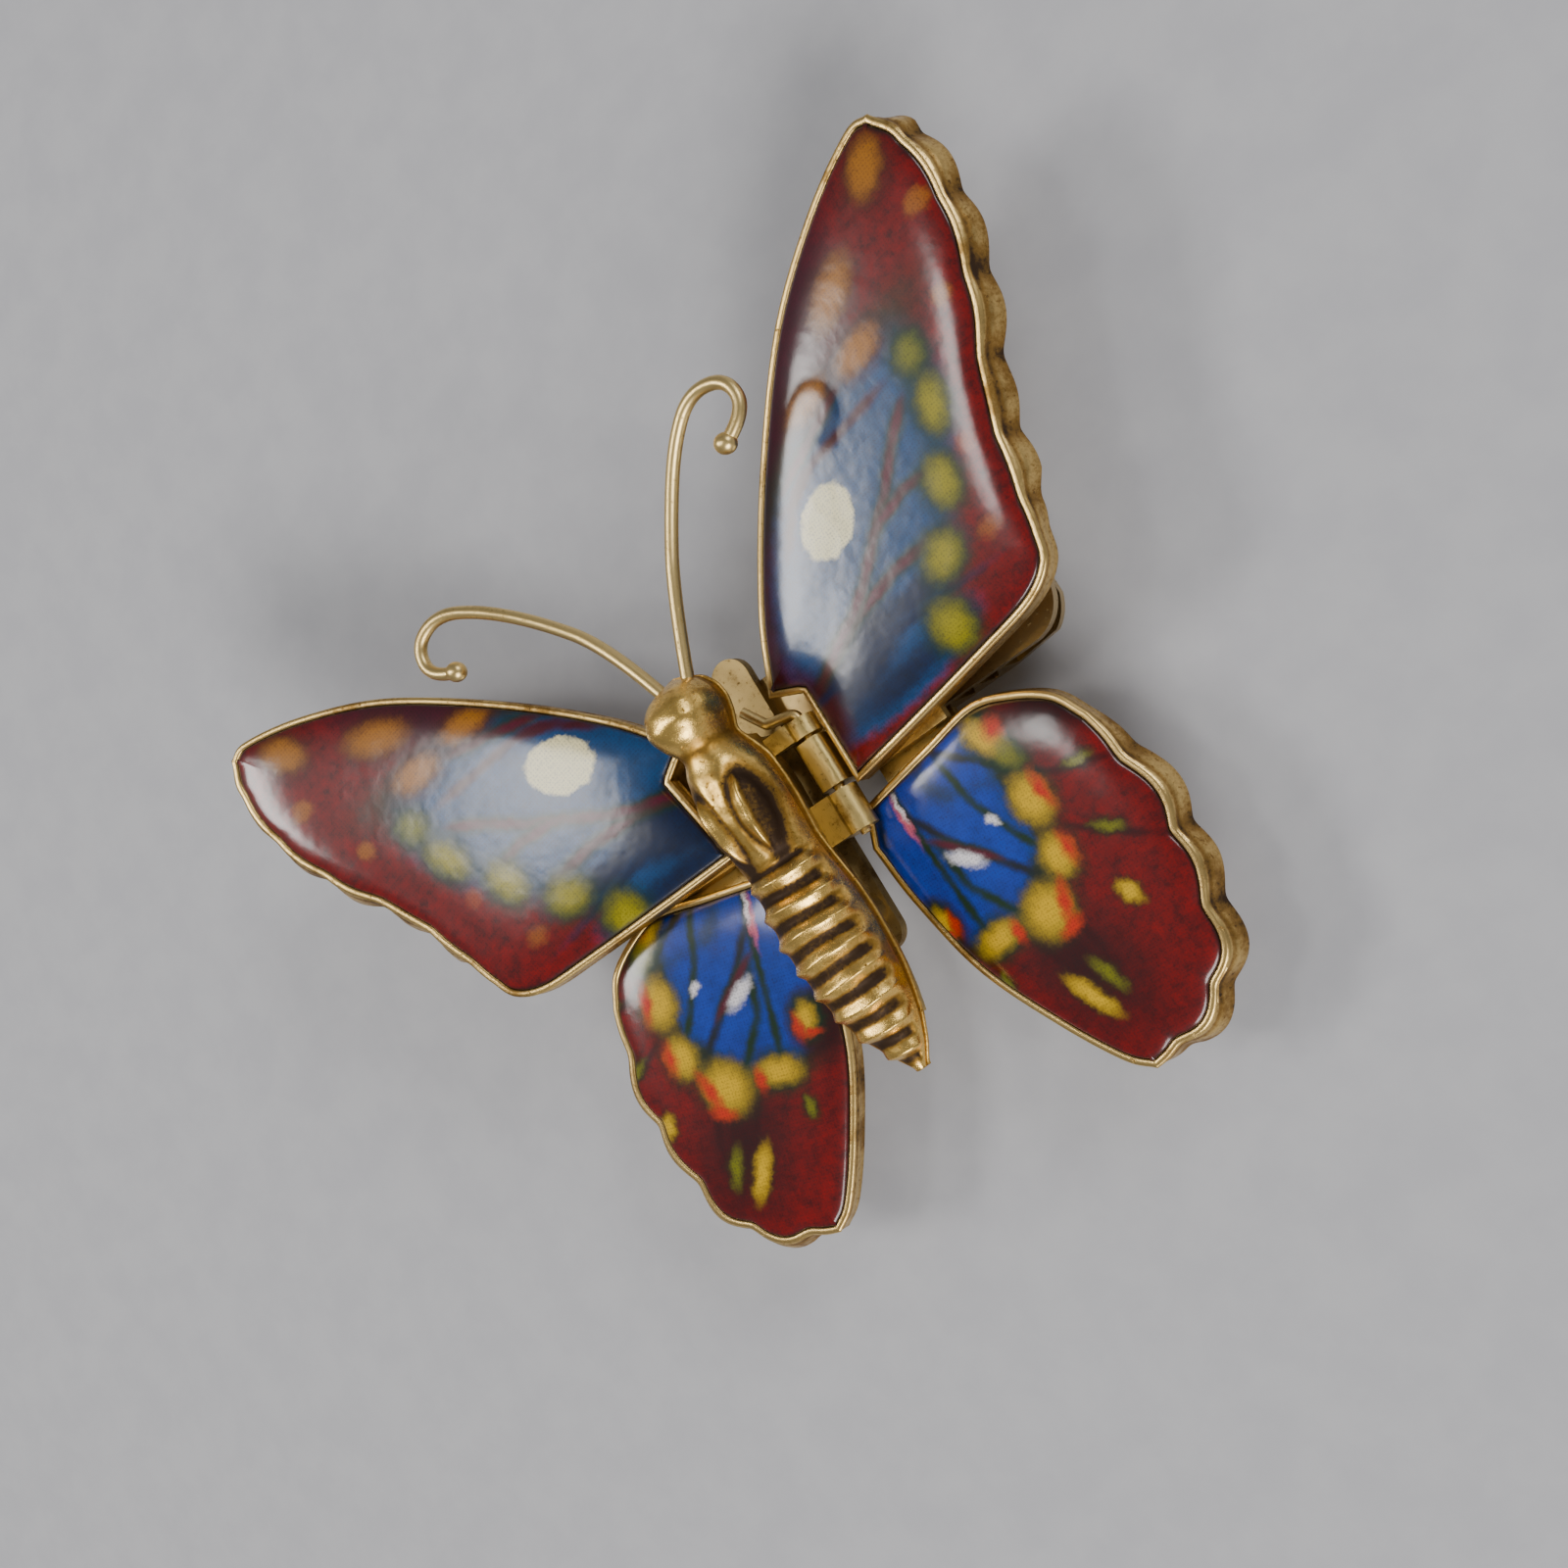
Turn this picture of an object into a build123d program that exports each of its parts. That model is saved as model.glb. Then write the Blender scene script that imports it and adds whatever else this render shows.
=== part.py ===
from build123d import *
import math
import os

# Butterfly hair pin: a stamped brass butterfly whose wings swing on two side hinges,
# carried by a strap on a small spring hair clip that lies across the body.
#
# Axes: +X to the butterfly's right, +Y towards its head, +Z out of its front.
# Origin: on the flat underside of the clip's lower jaw, on the butterfly's middle
# plane and on the clip's centre line.
# Everything below is written about the body's own middle (y = 0 half way along the
# body, z = 0 near its ridge) and is moved to the origin when it is exported.

# ---- driving dimensions, mm ---------------------------------------------------
CLIP_AHEAD = 5.1        # the clip's centre line lies this far ahead of the body's middle
LIFT = 6.4              # height of the body's z = 0 above the clip's underside

BODY_EDGE = 0.0         # edge of the stamped body, at its middle
BODY_TILT = 4.5         # degrees, head up
PLATE_TOP = -1.2        # flat part of the dished back plate
PLATE_NARROW = 0.68     # its width there, as a share of the body's
SHEET = 0.35            # thickness of the base plate and the hinge leaves
SHELL_WALL = 0.35       # wall of the stamped body

HINGE_X = 2.1           # hinge axes, either side of the thorax
HINGE_Z = -1.97
PIN_R = 0.20
KNUCKLE_R = 0.60        # fixed knuckles
RUNNING = 0.05          # radial clearance between a pin and its moving knuckle
KNUCKLE_HALF = 0.55     # moving knuckle: half side of the folded square
KNUCKLE_CORNER = 0.30
MOVING_KNUCKLE = (2.3, 4.2)                 # y range on each side
FIXED_KNUCKLES = ((0.5, 2.1), (4.35, 5.05))

TRAY_HEIGHT = 0.90      # wing trays: foot to rim
TRAY_FLOOR = 0.25
RIM = 0.25              # wall thickness at the rim
BACKING_THICK = 0.30    # card under each printed inlay
FIT_GAP = 0.01
DOME = 0.35             # how far the inlay stands above the rim
DOME_STEPS = ((0.93, 0.6), (0.80, 0.9), (0.60, 1.0))    # outline scale, share of the rise
FLARE = 0.38            # how far the scalloped foot stands out past the rim

# Each wing: how far it is raised, how its outline is turned and shifted in its own plane,
# and the height of its rim plane at the hinge axis. The four were set by hand and differ.
WINGS = {
    "forewing_right": {"raise": 7.2, "turn": 0.0, "shift": (0.0, 0.0), "z": -2.00},
    "forewing_left": {"raise": 9.8, "turn": -11.1, "shift": (0.07, 0.39), "z": -1.90},
    "hindwing_right": {"raise": 2.9, "turn": 0.0, "shift": (0.0, 0.0), "z": -2.65},
    "hindwing_left": {"raise": 3.7, "turn": 4.2, "shift": (-0.05, -0.11), "z": -2.65},
}

STRAP_TOP = -3.10       # strap that joins the butterfly to the clip
STRAP_BOTTOM = -3.60
STRAP_HALF = 0.80
STRAP_ENDS = (-3.6, 8.8)
POSTS = (-2.0, 4.8)     # y of the two posts between base plate and strap
POST_R = 0.70

JAW_THICK = 0.50        # clip, along X: nose at +X, finger tabs at -X
JAW_HALF = 2.35
NOSE_X = 12.0
TAB_X = -11.0
PIVOT = (-4.5, -5.0)    # x, z
PIVOT_R = 0.45
UPPER_EAR_R = 1.05
LOWER_EAR_R = 0.80
EAR_THICK = 0.40
LOWER_EAR_Y = 1.85      # outer face of the lower jaw's ears
TAB_BEND = -6.0         # the upper tab bends up from here
TAB_RISE = 1.4
UNDERSIDE = -LIFT
LOWER_THICK = 0.45
TEETH = 8
TOOTH_PITCH = 1.1
TOOTH_TOP = -4.65
COIL_OUT = 0.81
COIL_IN = 0.51
COIL_ENDS = (-1.2, 1.0)  # y about the clip's centre line; the last turn is beyond
LAST_TURN = (1.04, 1.38)
SPRING_WIRE_R = 0.15

ANTENNA_R = 0.25
ANTENNA_BALL_R = 0.42

# ---- outlines -----------------------------------------------------------------
# Driving points of the wings' rims, seen along the wing's own normal, with u counted
# from the body's middle plane and v along the body.
FORE_INNER = [(2.8, 2.0), (6.0, 2.45), (9.6, 3.0), (12.0, 3.45), (13.2, 4.2), (13.6, 5.3)]
FORE_OUTER = [(13.6, 5.3), (14.1, 7.6), (14.8, 9.9), (16.1, 12.5), (17.0, 15.4), (17.0, 18.0), (16.3, 19.55)]
FORE_LEADING = [(16.3, 19.55), (15.3, 19.65), (12.6, 18.5), (9.3, 16.3), (5.7, 12.6), (2.9, 9.0), (1.45, 6.35)]
FORE_BASE = [(1.45, 6.35), (2.8, 5.75), (2.8, 2.0)]
HIND_INNER = [(1.6, -0.2), (1.9, -2.6), (2.7, -5.8), (4.2, -8.7), (5.6, -10.8), (6.5, -11.55)]
HIND_OUTER = [(6.5, -11.55), (8.9, -10.95), (10.7, -9.3), (11.5, -6.4), (11.75, -3.6), (11.1, -0.4)]
HIND_TOP = [(11.1, -0.4), (10.4, 0.8), (9.1, 1.65), (7.6, 2.1), (5.4, 1.75), (3.3, 1.4)]
HIND_BASE = [(3.3, 1.4), (2.2, 1.2), (1.6, -0.2)]

FORE_LOBES = 6.5        # scallops along the outer margin, tornus to tip
HIND_LOBES = 5.0        # tip to the top corner, a bump at both ends
FORE_WAVE = {"rim": 0.10, "foot": 0.34}
HIND_WAVE = {"rim": 0.36, "foot": 0.46}


def smooth(points, steps):
    """Points along a Catmull-Rom curve through the driving points, last one left out."""
    first = (2 * points[0][0] - points[1][0], 2 * points[0][1] - points[1][1])
    last = (2 * points[-1][0] - points[-2][0], 2 * points[-1][1] - points[-2][1])
    padded = [first] + list(points) + [last]
    spans = len(points) - 1
    out = []
    for k in range(steps):
        where = spans * k / steps
        i = min(int(where), spans - 1)
        t = where - i
        p0, p1, p2, p3 = padded[i:i + 4]
        out.append(tuple(
            0.5 * (2 * b + (c - a) * t + (2 * a - 5 * b + 4 * c - d) * t * t
                   + (3 * b - a - 3 * c + d) * t ** 3)
            for a, b, c, d in zip(p0, p1, p2, p3)))
    return out


def pushed_out(points, amounts):
    """Moves each point of a closed outline along its outward normal."""
    area = sum(a[0] * b[1] - b[0] * a[1] for a, b in zip(points, points[1:] + points[:1]))
    side = 1.0 if area > 0 else -1.0
    out = []
    for i, (x, y) in enumerate(points):
        before, after = points[i - 1], points[(i + 1) % len(points)]
        dx, dy = after[0] - before[0], after[1] - before[1]
        length = math.hypot(dx, dy)
        out.append((x + side * amounts[i] * dy / length, y - side * amounts[i] * dx / length))
    return out


def wing_outline(kind, level):
    """Closed outline of a wing at its rim or at its flared, scalloped foot."""
    if kind == "forewing":
        inner, outer, rest, base = FORE_INNER, FORE_OUTER, FORE_LEADING, FORE_BASE
        lobes, wave, steps = FORE_LOBES, FORE_WAVE[level], (12, 52, 16)
    else:
        inner, outer, rest, base = HIND_INNER, HIND_OUTER, HIND_TOP, HIND_BASE
        lobes, wave, steps = HIND_LOBES, HIND_WAVE[level], (12, 40, 10)
    points = smooth(inner, steps[0]) + smooth(outer, steps[1]) + smooth(rest, steps[2]) + base[:-1]
    amounts = [0.0] * len(points)
    for k in range(steps[1]):
        s = k / steps[1]
        if kind == "forewing":
            bump = abs(math.sin(math.pi * (lobes * s + 0.5)))
        else:
            bump = abs(math.cos(math.pi * lobes * s))
        fade = min(1.0, 8 * s, 8 * (1 - s))
        flare = FLARE if level == "foot" else 0.0
        amounts[steps[0] + k] = fade * (wave * (bump - 0.65) + flare)
    return pushed_out(points, amounts)


def shrunk(points, scale):
    """The outline scaled about the middle of its points."""
    cx = sum(x for x, _ in points) / len(points)
    cy = sum(y for _, y in points) / len(points)
    return [(cx + scale * (x - cx), cy + scale * (y - cy)) for x, y in points]


def turned(points, name):
    """The outline turned and shifted in its own plane, about its inner lower corner."""
    wing = WINGS[name]
    angle = math.radians(wing["turn"])
    pivot = (2.4, 1.9)
    out = []
    for x, y in points:
        dx, dy = x - pivot[0], y - pivot[1]
        out.append((pivot[0] + dx * math.cos(angle) - dy * math.sin(angle) + wing["shift"][0],
                    pivot[1] + dx * math.sin(angle) + dy * math.cos(angle) + wing["shift"][1]))
    return out


def wing_plane(name):
    """Plane of the wing's rim, drawn on the butterfly's right side."""
    wing = WINGS[name]
    angle = math.radians(wing["raise"])
    return Plane(origin=(HINGE_X, 0, wing["z"]), x_dir=(math.cos(angle), 0, math.sin(angle)),
                 z_dir=(-math.sin(angle), 0, math.cos(angle)))


def section(points, z):
    """A flat face from a closed outline, in wing coordinates with u from the hinge axis."""
    corners = [(x - HINGE_X, y, z) for x, y in points]
    return Face(Wire.make_polygon([Vector(*c) for c in corners], close=True))


def on_side(shape, name):
    """Leaves right-hand parts where they are and mirrors left-hand ones."""
    return mirror(shape, about=Plane.YZ) if name.endswith("left") else shape


# ---- the four wings -----------------------------------------------------------
def wing_parts(name):
    """Tray, backing card and domed printed inlay of one wing."""
    kind = name.split("_")[0]
    rim = turned(wing_outline(kind, "rim"), name)
    foot = turned(wing_outline(kind, "foot"), name)
    count = len(rim)
    inside = pushed_out(rim, [-RIM] * count)
    fitted = pushed_out(rim, [-RIM - FIT_GAP] * count)
    floor_z = TRAY_FLOOR - TRAY_HEIGHT
    card_z = floor_z + BACKING_THICK

    outer = Solid.make_loft([section(foot, -TRAY_HEIGHT).outer_wire(), section(rim, 0).outer_wire()], True)
    pocket = extrude(section(inside, floor_z), TRAY_HEIGHT, dir=(0, 0, 1))
    tray = outer - pocket
    card = extrude(section(fitted, floor_z), BACKING_THICK, dir=(0, 0, 1))
    inlay = extrude(section(fitted, card_z), -card_z, dir=(0, 0, 1))
    low, low_z = fitted, 0.0
    for scale, share in DOME_STEPS:
        high, high_z = shrunk(fitted, scale), share * DOME
        wires = [section(low, low_z).outer_wire(), section(high, high_z).outer_wire()]
        inlay = inlay + Solid.make_loft(wires, True)
        low, low_z = high, high_z
    place = wing_plane(name).location
    return [on_side(place * piece, name) for piece in (tray, card, inlay)]


# ---- hinges -------------------------------------------------------------------
def along_y(radius, low, high, x, z):
    """A round bar along Y."""
    return Solid.make_cylinder(radius, high - low, Plane(origin=(x, low, z), z_dir=(0, 1, 0)))


def block(x, y, z):
    """A box from its three ranges."""
    low = Vector(x[0], y[0], z[0])
    return Solid.make_box(x[1] - x[0], y[1] - y[0], z[1] - z[0], Plane(low))


def hinge_pin(side):
    """Wire pin through the knuckles, its upper end bent in under the neck so that it can't slide out."""
    low = FIXED_KNUCKLES[0][0] - 0.15
    route = [(HINGE_X, low, HINGE_Z), (HINGE_X, 5.32, HINGE_Z), (1.0, 5.55, HINGE_Z + 0.17),
             (0.42, 6.45, HINGE_Z + 0.23)]
    path = FilletPolyline(*route, radius=0.24)
    pin = sweep(Plane(origin=route[0], z_dir=(0, 1, 0)) * Circle(PIN_R), path=path)
    return on_side(pin, side)


def wing_leaf(side):
    """Moving leaf: a folded knuckle, a web down past the trays and a plate under each of them."""
    low, high = MOVING_KNUCKLE
    profile = Plane(origin=(HINGE_X, low, HINGE_Z), x_dir=(1, 0, 0), z_dir=(0, -1, 0))
    knuckle = extrude(profile * RectangleRounded(2 * KNUCKLE_HALF, 2 * KNUCKLE_HALF, KNUCKLE_CORNER), low - high)
    web_in, web_out = HINGE_X + KNUCKLE_HALF - SHEET, HINGE_X + KNUCKLE_HALF
    fore = wing_plane("forewing_" + side)
    hind = wing_plane("hindwing_" + side)
    plate_z = (-TRAY_HEIGHT - SHEET, -TRAY_HEIGHT)
    step_y = (2.15, 2.5)
    fore_plate = fore.location * block((web_in - HINGE_X, 4.6), (step_y[0], 4.7), plate_z)
    hind_plate = hind.location * block((0.95, 4.6), (-2.2, step_y[1]), plate_z)
    drop = wing_plane("hindwing_" + side).origin.Z - fore.origin.Z - TRAY_HEIGHT - SHEET
    riser = fore.location * block((0.95, 3.6), step_y, (drop + 0.02, plate_z[1] - 0.02))
    web = block((web_in, web_out), (low, high), (fore.origin.Z - TRAY_HEIGHT - SHEET + 0.05, HINGE_Z))
    leaf = knuckle + web + fore_plate + riser + hind_plate
    leaf = leaf - along_y(PIN_R + RUNNING, low - 1, high + 1, HINGE_X, HINGE_Z)
    return on_side(leaf, side)


# ---- body ---------------------------------------------------------------------
# Half width and height above the edge, along head and thorax.
BODY_PROFILE = [
    (8.35, 0.35, 0.60), (8.0, 1.00, 1.60), (7.4, 1.35, 2.25), (6.8, 1.45, 2.45), (6.2, 1.30, 2.25),
    (5.6, 0.95, 1.75), (5.1, 1.20, 1.80), (4.3, 1.60, 2.10), (3.4, 1.72, 2.25), (2.5, 1.70, 2.20),
    (1.7, 1.63, 2.00), (1.1, 1.56, 1.80),
]
ABDOMEN = (0.75, -7.25)  # first and last groove
RIDGES = 8
TAIL = (-7.75, 0.20, 0.30)
BODY_SIDES = 12
PLATE_ENDS = (5.5, -6.0)


def abdomen_size(y):
    """Half width and height of the tapering abdomen."""
    t = (ABDOMEN[0] - y) / (ABDOMEN[0] - TAIL[0])
    half = 1.52 + 1.10 * t - 2.42 * t ** 3
    height = 1.75 + 1.35 * t - 3.00 * t ** 3
    return half, height


def body_sections():
    """(y, half width, height) from head to tail, with a groove between ridges."""
    out = list(BODY_PROFILE)
    pitch = (ABDOMEN[0] - ABDOMEN[1]) / RIDGES
    for k in range(RIDGES):
        for part, scale in ((0.0, 0.88), (0.35, 1.0), (0.7, 1.0)):
            y = ABDOMEN[0] - (k + part) * pitch
            half, height = abdomen_size(y)
            out.append((y, half * (0.5 + 0.5 * scale), height * scale))
    return out + [TAIL]


def half_round(y, half, height, bottom):
    """Closed half-elliptical section across the body."""
    corners = []
    for k in range(BODY_SIDES + 1):
        angle = math.pi * k / BODY_SIDES
        corners.append(Vector(half * math.cos(angle), y, bottom + height * math.sin(angle)))
    return Wire.make_polygon(corners, close=True)


def body_shell():
    """Stamped front of the body, hollow under the thorax and the front of the abdomen."""
    skin = Solid.make_loft([half_round(*s, BODY_EDGE) for s in body_sections()], True)
    hollow = [(y, half - SHELL_WALL, height - SHELL_WALL) for y, half, height in BODY_PROFILE[5:]]
    hollow += [(-1.0, 1.30, 1.35), (-4.0, 1.05, 1.15)]
    inside = Solid.make_loft([half_round(*s, BODY_EDGE - 0.01) for s in hollow], True)
    return Rot(BODY_TILT, 0, 0) * (skin - inside)


def body_half(y):
    """Half width of the body at its edge."""
    if y <= ABDOMEN[0]:
        return abdomen_size(y)[0]
    for (y1, half1, _), (y0, half0, _) in zip(BODY_PROFILE, BODY_PROFILE[1:]):
        if y0 <= y <= y1:
            return half0 + (half1 - half0) * (y - y0) / (y1 - y0)
    return BODY_PROFILE[-1][1]


def plate_face(z, share, inset, tilt=0.0):
    """Flat face with a share of the body's width, a little inside its edge."""
    rise = math.tan(math.radians(tilt))
    front, back = PLATE_ENDS
    steps = 14
    ys = [front - inset + (back - front + 2 * inset) * k / steps for k in range(steps + 1)]
    right = [(share * (body_half(y) - 0.12) - inset, y) for y in ys]
    corners = [Vector(x, y, z + y * rise) for x, y in right + [(-x, y) for x, y in reversed(right)]]
    return Face(Wire.make_polygon(corners, close=True))


def dish(inset):
    """Solid between the body's tilted edge and the flat part of the plate."""
    upper = plate_face(BODY_EDGE, 1.0, inset, BODY_TILT)
    lower = plate_face(PLATE_TOP, PLATE_NARROW, inset)
    return Solid.make_loft([upper.outer_wire(), lower.outer_wire()], True)


def base_plate():
    """Dished plate that closes the body, with two fixed knuckles on each side."""
    low = PLATE_TOP - SHEET
    plate = dish(0) + extrude(plate_face(low, PLATE_NARROW, 0), SHEET, dir=(0, 0, 1)) - dish(SHEET)
    for sign in (-1, 1):
        for start, end in FIXED_KNUCKLES:
            tab_x = sorted((sign * 0.8, sign * (HINGE_X - 0.25)))
            cheek_x = sorted((sign * (HINGE_X - KNUCKLE_R), sign * (HINGE_X - 0.25)))
            plate = plate + block(tab_x, (start, end), (low, PLATE_TOP))
            plate = plate + block(cheek_x, (start, end), (HINGE_Z, PLATE_TOP))
            plate = plate + along_y(KNUCKLE_R, start, end, sign * HINGE_X, HINGE_Z)
            plate = plate - along_y(PIN_R, start - 1, end + 0.5, sign * HINGE_X, HINGE_Z)
    return plate


def antenna(side):
    """Brass wire from the top of the head, curled at its end round a small ball."""
    route = [(0.48, 7.75, 0.85), (1.64, 10.76, 0.60), (3.45, 13.10, 0.95), (5.10, 14.70, 1.40),
             (6.60, 15.55, 1.70), (8.05, 15.10, 1.75), (8.10, 13.70, 1.85), (6.90, 13.25, 1.95)]
    path = FilletPolyline(*route, radius=[4.0, 4.0, 3.0, 0.9, 0.6, 0.55])
    start = path @ 0
    wire = sweep(Plane(origin=start, z_dir=path % 0) * Circle(ANTENNA_R), path=path)
    ball = Plane(origin=path @ 1, z_dir=path % 1).location * Sphere(ANTENNA_BALL_R)
    return on_side(wire + ball, side)


# ---- strap and hair clip ------------------------------------------------------
def mounting_post(y):
    """Short round post between the base plate and the strap."""
    return Pos(0, y, STRAP_TOP) * Solid.make_cylinder(POST_R, PLATE_TOP - SHEET - STRAP_TOP)


def mounting_strap():
    """Flat strap along the body, rounded at both ends, soldered across the clip."""
    length = STRAP_ENDS[1] - STRAP_ENDS[0]
    middle = (STRAP_ENDS[0] + STRAP_ENDS[1]) / 2
    flat = Plane(origin=(0, middle, STRAP_BOTTOM), x_dir=(0, 1, 0)) * SlotOverall(length, 2 * STRAP_HALF)
    return extrude(flat, STRAP_TOP - STRAP_BOTTOM)


def across_clip(outline, half_low, half_high):
    """A solid with the given XZ outline, between two distances from the clip's centre line."""
    corners = [Vector(x, CLIP_AHEAD + half_low, z) for x, z in outline]
    return extrude(Face(Wire.make_polygon(corners, close=True)), half_high - half_low, dir=(0, 1, 0))


def rounded_plan(low_z, high_z):
    """Plan shape of both jaws: a strip with rounded ends."""
    middle = (NOSE_X + TAB_X) / 2
    strip = RectangleRounded(NOSE_X - TAB_X, 2 * JAW_HALF, 1.6)
    return extrude(Pos(middle, CLIP_AHEAD, low_z) * strip, high_z - low_z)


def ears(radius, outer, reach):
    """A pair of round ears about the pivot, joined up or down to a jaw."""
    x, z = PIVOT
    both = []
    for sign in (-1, 1):
        ys = sorted((CLIP_AHEAD + sign * outer, CLIP_AHEAD + sign * (outer - EAR_THICK)))
        both.append(along_y(radius, ys[0], ys[1], x, z))
        both.append(block((x - radius, x + radius), ys, sorted((z, reach))))
    return both


def pivot_hole():
    """Hole through the ears of both jaws."""
    reach = JAW_HALF + 1
    return along_y(PIVOT_R + RUNNING, CLIP_AHEAD - reach, CLIP_AHEAD + reach, *PIVOT)


def clip_upper_jaw():
    """Strip that carries the mounting strap, its finger tab bent up, with the outer pair of ears."""
    top = STRAP_BOTTOM
    low = top - JAW_THICK
    outline = [(NOSE_X, low), (NOSE_X, top), (TAB_BEND, top), (TAB_X, top + TAB_RISE),
               (TAB_X, low + TAB_RISE), (TAB_BEND - 0.1, low)]
    strip = across_clip(outline, -JAW_HALF, JAW_HALF) & rounded_plan(low, top + TAB_RISE)
    for ear in ears(UPPER_EAR_R, JAW_HALF, (low + top) / 2):
        strip = strip + ear
    return strip - pivot_hole()


def clip_lower_jaw():
    """Flat lower strip with a raised nose and toothed edges, and the inner pair of ears."""
    low = UNDERSIDE
    high = UNDERSIDE + LOWER_THICK
    nose = NOSE_X - 0.1
    half = JAW_HALF - 0.1
    outline = [(TAB_X, low), (8.6, low), (nose, -4.75), (nose, -4.32), (8.8, high), (TAB_X, high)]
    jaw = across_clip(outline, -half, half) & rounded_plan(low, -4.0)
    x, _ = PIVOT
    notch = (x - UPPER_EAR_R - 0.25, x + UPPER_EAR_R + 0.25)
    for sign in (-1, 1):
        ys = sorted((CLIP_AHEAD + sign * (LOWER_EAR_Y - 0.02), CLIP_AHEAD + sign * (JAW_HALF + 1)))
        jaw = jaw - block(notch, ys, (low - 1, -4.0))
    for ear in ears(LOWER_EAR_R, LOWER_EAR_Y, low + LOWER_THICK / 2):
        jaw = jaw + ear
    for k in range(TEETH):
        start = 0.2 + k * TOOTH_PITCH
        tooth = [(start, high - 0.1), (start + TOOTH_PITCH - 0.1, high - 0.1), (start + 0.55, TOOTH_TOP)]
        for near in (-half, half - EAR_THICK):
            jaw = jaw + across_clip(tooth, near, near + EAR_THICK)
    return jaw - pivot_hole()


def clip_pivot_pin():
    """Pin through all four ears, with a low head at each end."""
    reach = JAW_HALF + 0.02
    pin = along_y(PIVOT_R, CLIP_AHEAD - reach, CLIP_AHEAD + reach, *PIVOT)
    for low in (-reach - 0.25, reach):
        pin = pin + along_y(PIVOT_R + 0.2, CLIP_AHEAD + low, CLIP_AHEAD + low + 0.25, *PIVOT)
    return pin


def spring_turns(ends):
    """Sleeve that fills the outline of the spring's turns between two distances along the pivot."""
    low, high = CLIP_AHEAD + ends[0], CLIP_AHEAD + ends[1]
    return along_y(COIL_OUT, low, high, *PIVOT) - along_y(COIL_IN, low - 1, high + 1, *PIVOT)


def spring_leg(points, y):
    """Straight or bent wire leg through (x, z) points at one distance along the pivot."""
    corners = [(x, CLIP_AHEAD + y, z) for x, z in points]
    path = FilletPolyline(*corners, radius=1.5) if len(corners) > 2 else Polyline(*corners)
    return sweep(Plane(origin=path @ 0, z_dir=path % 0) * Circle(SPRING_WIRE_R), path=path)


def clip_spring_coil():
    """Turns of the spring round the pivot and the leg that lies under the upper tab."""
    x, z = PIVOT
    start = (x, z + COIL_OUT - SPRING_WIRE_R)
    leg = spring_leg([start, (-6.2, -4.30), (-9.6, -3.34)], COIL_ENDS[0] + SPRING_WIRE_R)
    return spring_turns(COIL_ENDS) + leg


def clip_spring_leg():
    """Last turn of the spring and the leg that lies on the lower tab and turns with it."""
    x, z = PIVOT
    start = (x, z - COIL_OUT + SPRING_WIRE_R + 0.04)
    leg = spring_leg([start, (-9.6, UNDERSIDE + LOWER_THICK + SPRING_WIRE_R + 0.01)], sum(LAST_TURN) / 2)
    return spring_turns(LAST_TURN) + leg


# ---- export -------------------------------------------------------------------
def all_parts():
    """Every piece by its node name, in body coordinates."""
    parts = {
        "body_shell": body_shell(),
        "base_plate": base_plate(),
        "front_post": mounting_post(POSTS[1]),
        "rear_post": mounting_post(POSTS[0]),
        "mounting_strap": mounting_strap(),
        "clip_upper_jaw": clip_upper_jaw(),
        "clip_lower_jaw": clip_lower_jaw(),
        "clip_pivot_pin": clip_pivot_pin(),
        "clip_spring_coil": clip_spring_coil(),
        "clip_spring_leg": clip_spring_leg(),
    }
    for side in ("left", "right"):
        parts["antenna_" + side] = antenna(side)
        parts["hinge_pin_" + side] = hinge_pin(side)
        parts["wing_leaf_" + side] = wing_leaf(side)
        for kind in ("forewing", "hindwing"):
            name = kind + "_" + side
            tray, card, inlay = wing_parts(name)
            parts[kind + "_tray_" + side] = tray
            parts[kind + "_backing_" + side] = card
            parts[kind + "_inlay_" + side] = inlay
    return parts


os.makedirs("parts", exist_ok=True)
to_origin = Pos(0, -CLIP_AHEAD, LIFT)
for node, shape in all_parts().items():
    export_step(to_origin * shape, "parts/" + node + ".step")
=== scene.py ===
import math

import bpy
import numpy as np
from mathutils import Matrix, Vector


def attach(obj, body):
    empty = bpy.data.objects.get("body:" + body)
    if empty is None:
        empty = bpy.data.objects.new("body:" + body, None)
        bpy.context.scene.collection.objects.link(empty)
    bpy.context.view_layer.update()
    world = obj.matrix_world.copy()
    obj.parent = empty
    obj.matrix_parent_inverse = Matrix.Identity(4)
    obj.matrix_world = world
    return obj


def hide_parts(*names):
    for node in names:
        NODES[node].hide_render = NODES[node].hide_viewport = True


# Butterfly hair pin. Everything is drawn in millimetres about the body's own middle, as
# the CAD part is, and placed() moves it into the row frame, in metres.
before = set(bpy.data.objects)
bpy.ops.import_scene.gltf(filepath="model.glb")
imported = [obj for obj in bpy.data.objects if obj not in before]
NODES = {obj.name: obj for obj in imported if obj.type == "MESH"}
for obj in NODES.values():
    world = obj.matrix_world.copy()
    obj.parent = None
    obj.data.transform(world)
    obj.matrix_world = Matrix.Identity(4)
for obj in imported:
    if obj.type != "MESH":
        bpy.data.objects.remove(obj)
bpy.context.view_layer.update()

CLIP_AHEAD = 5.1        # the clip's centre line is this far ahead of the body's middle
LIFT = 6.4              # height of the body's z = 0 above the clip's underside
MM = 0.001

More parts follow.
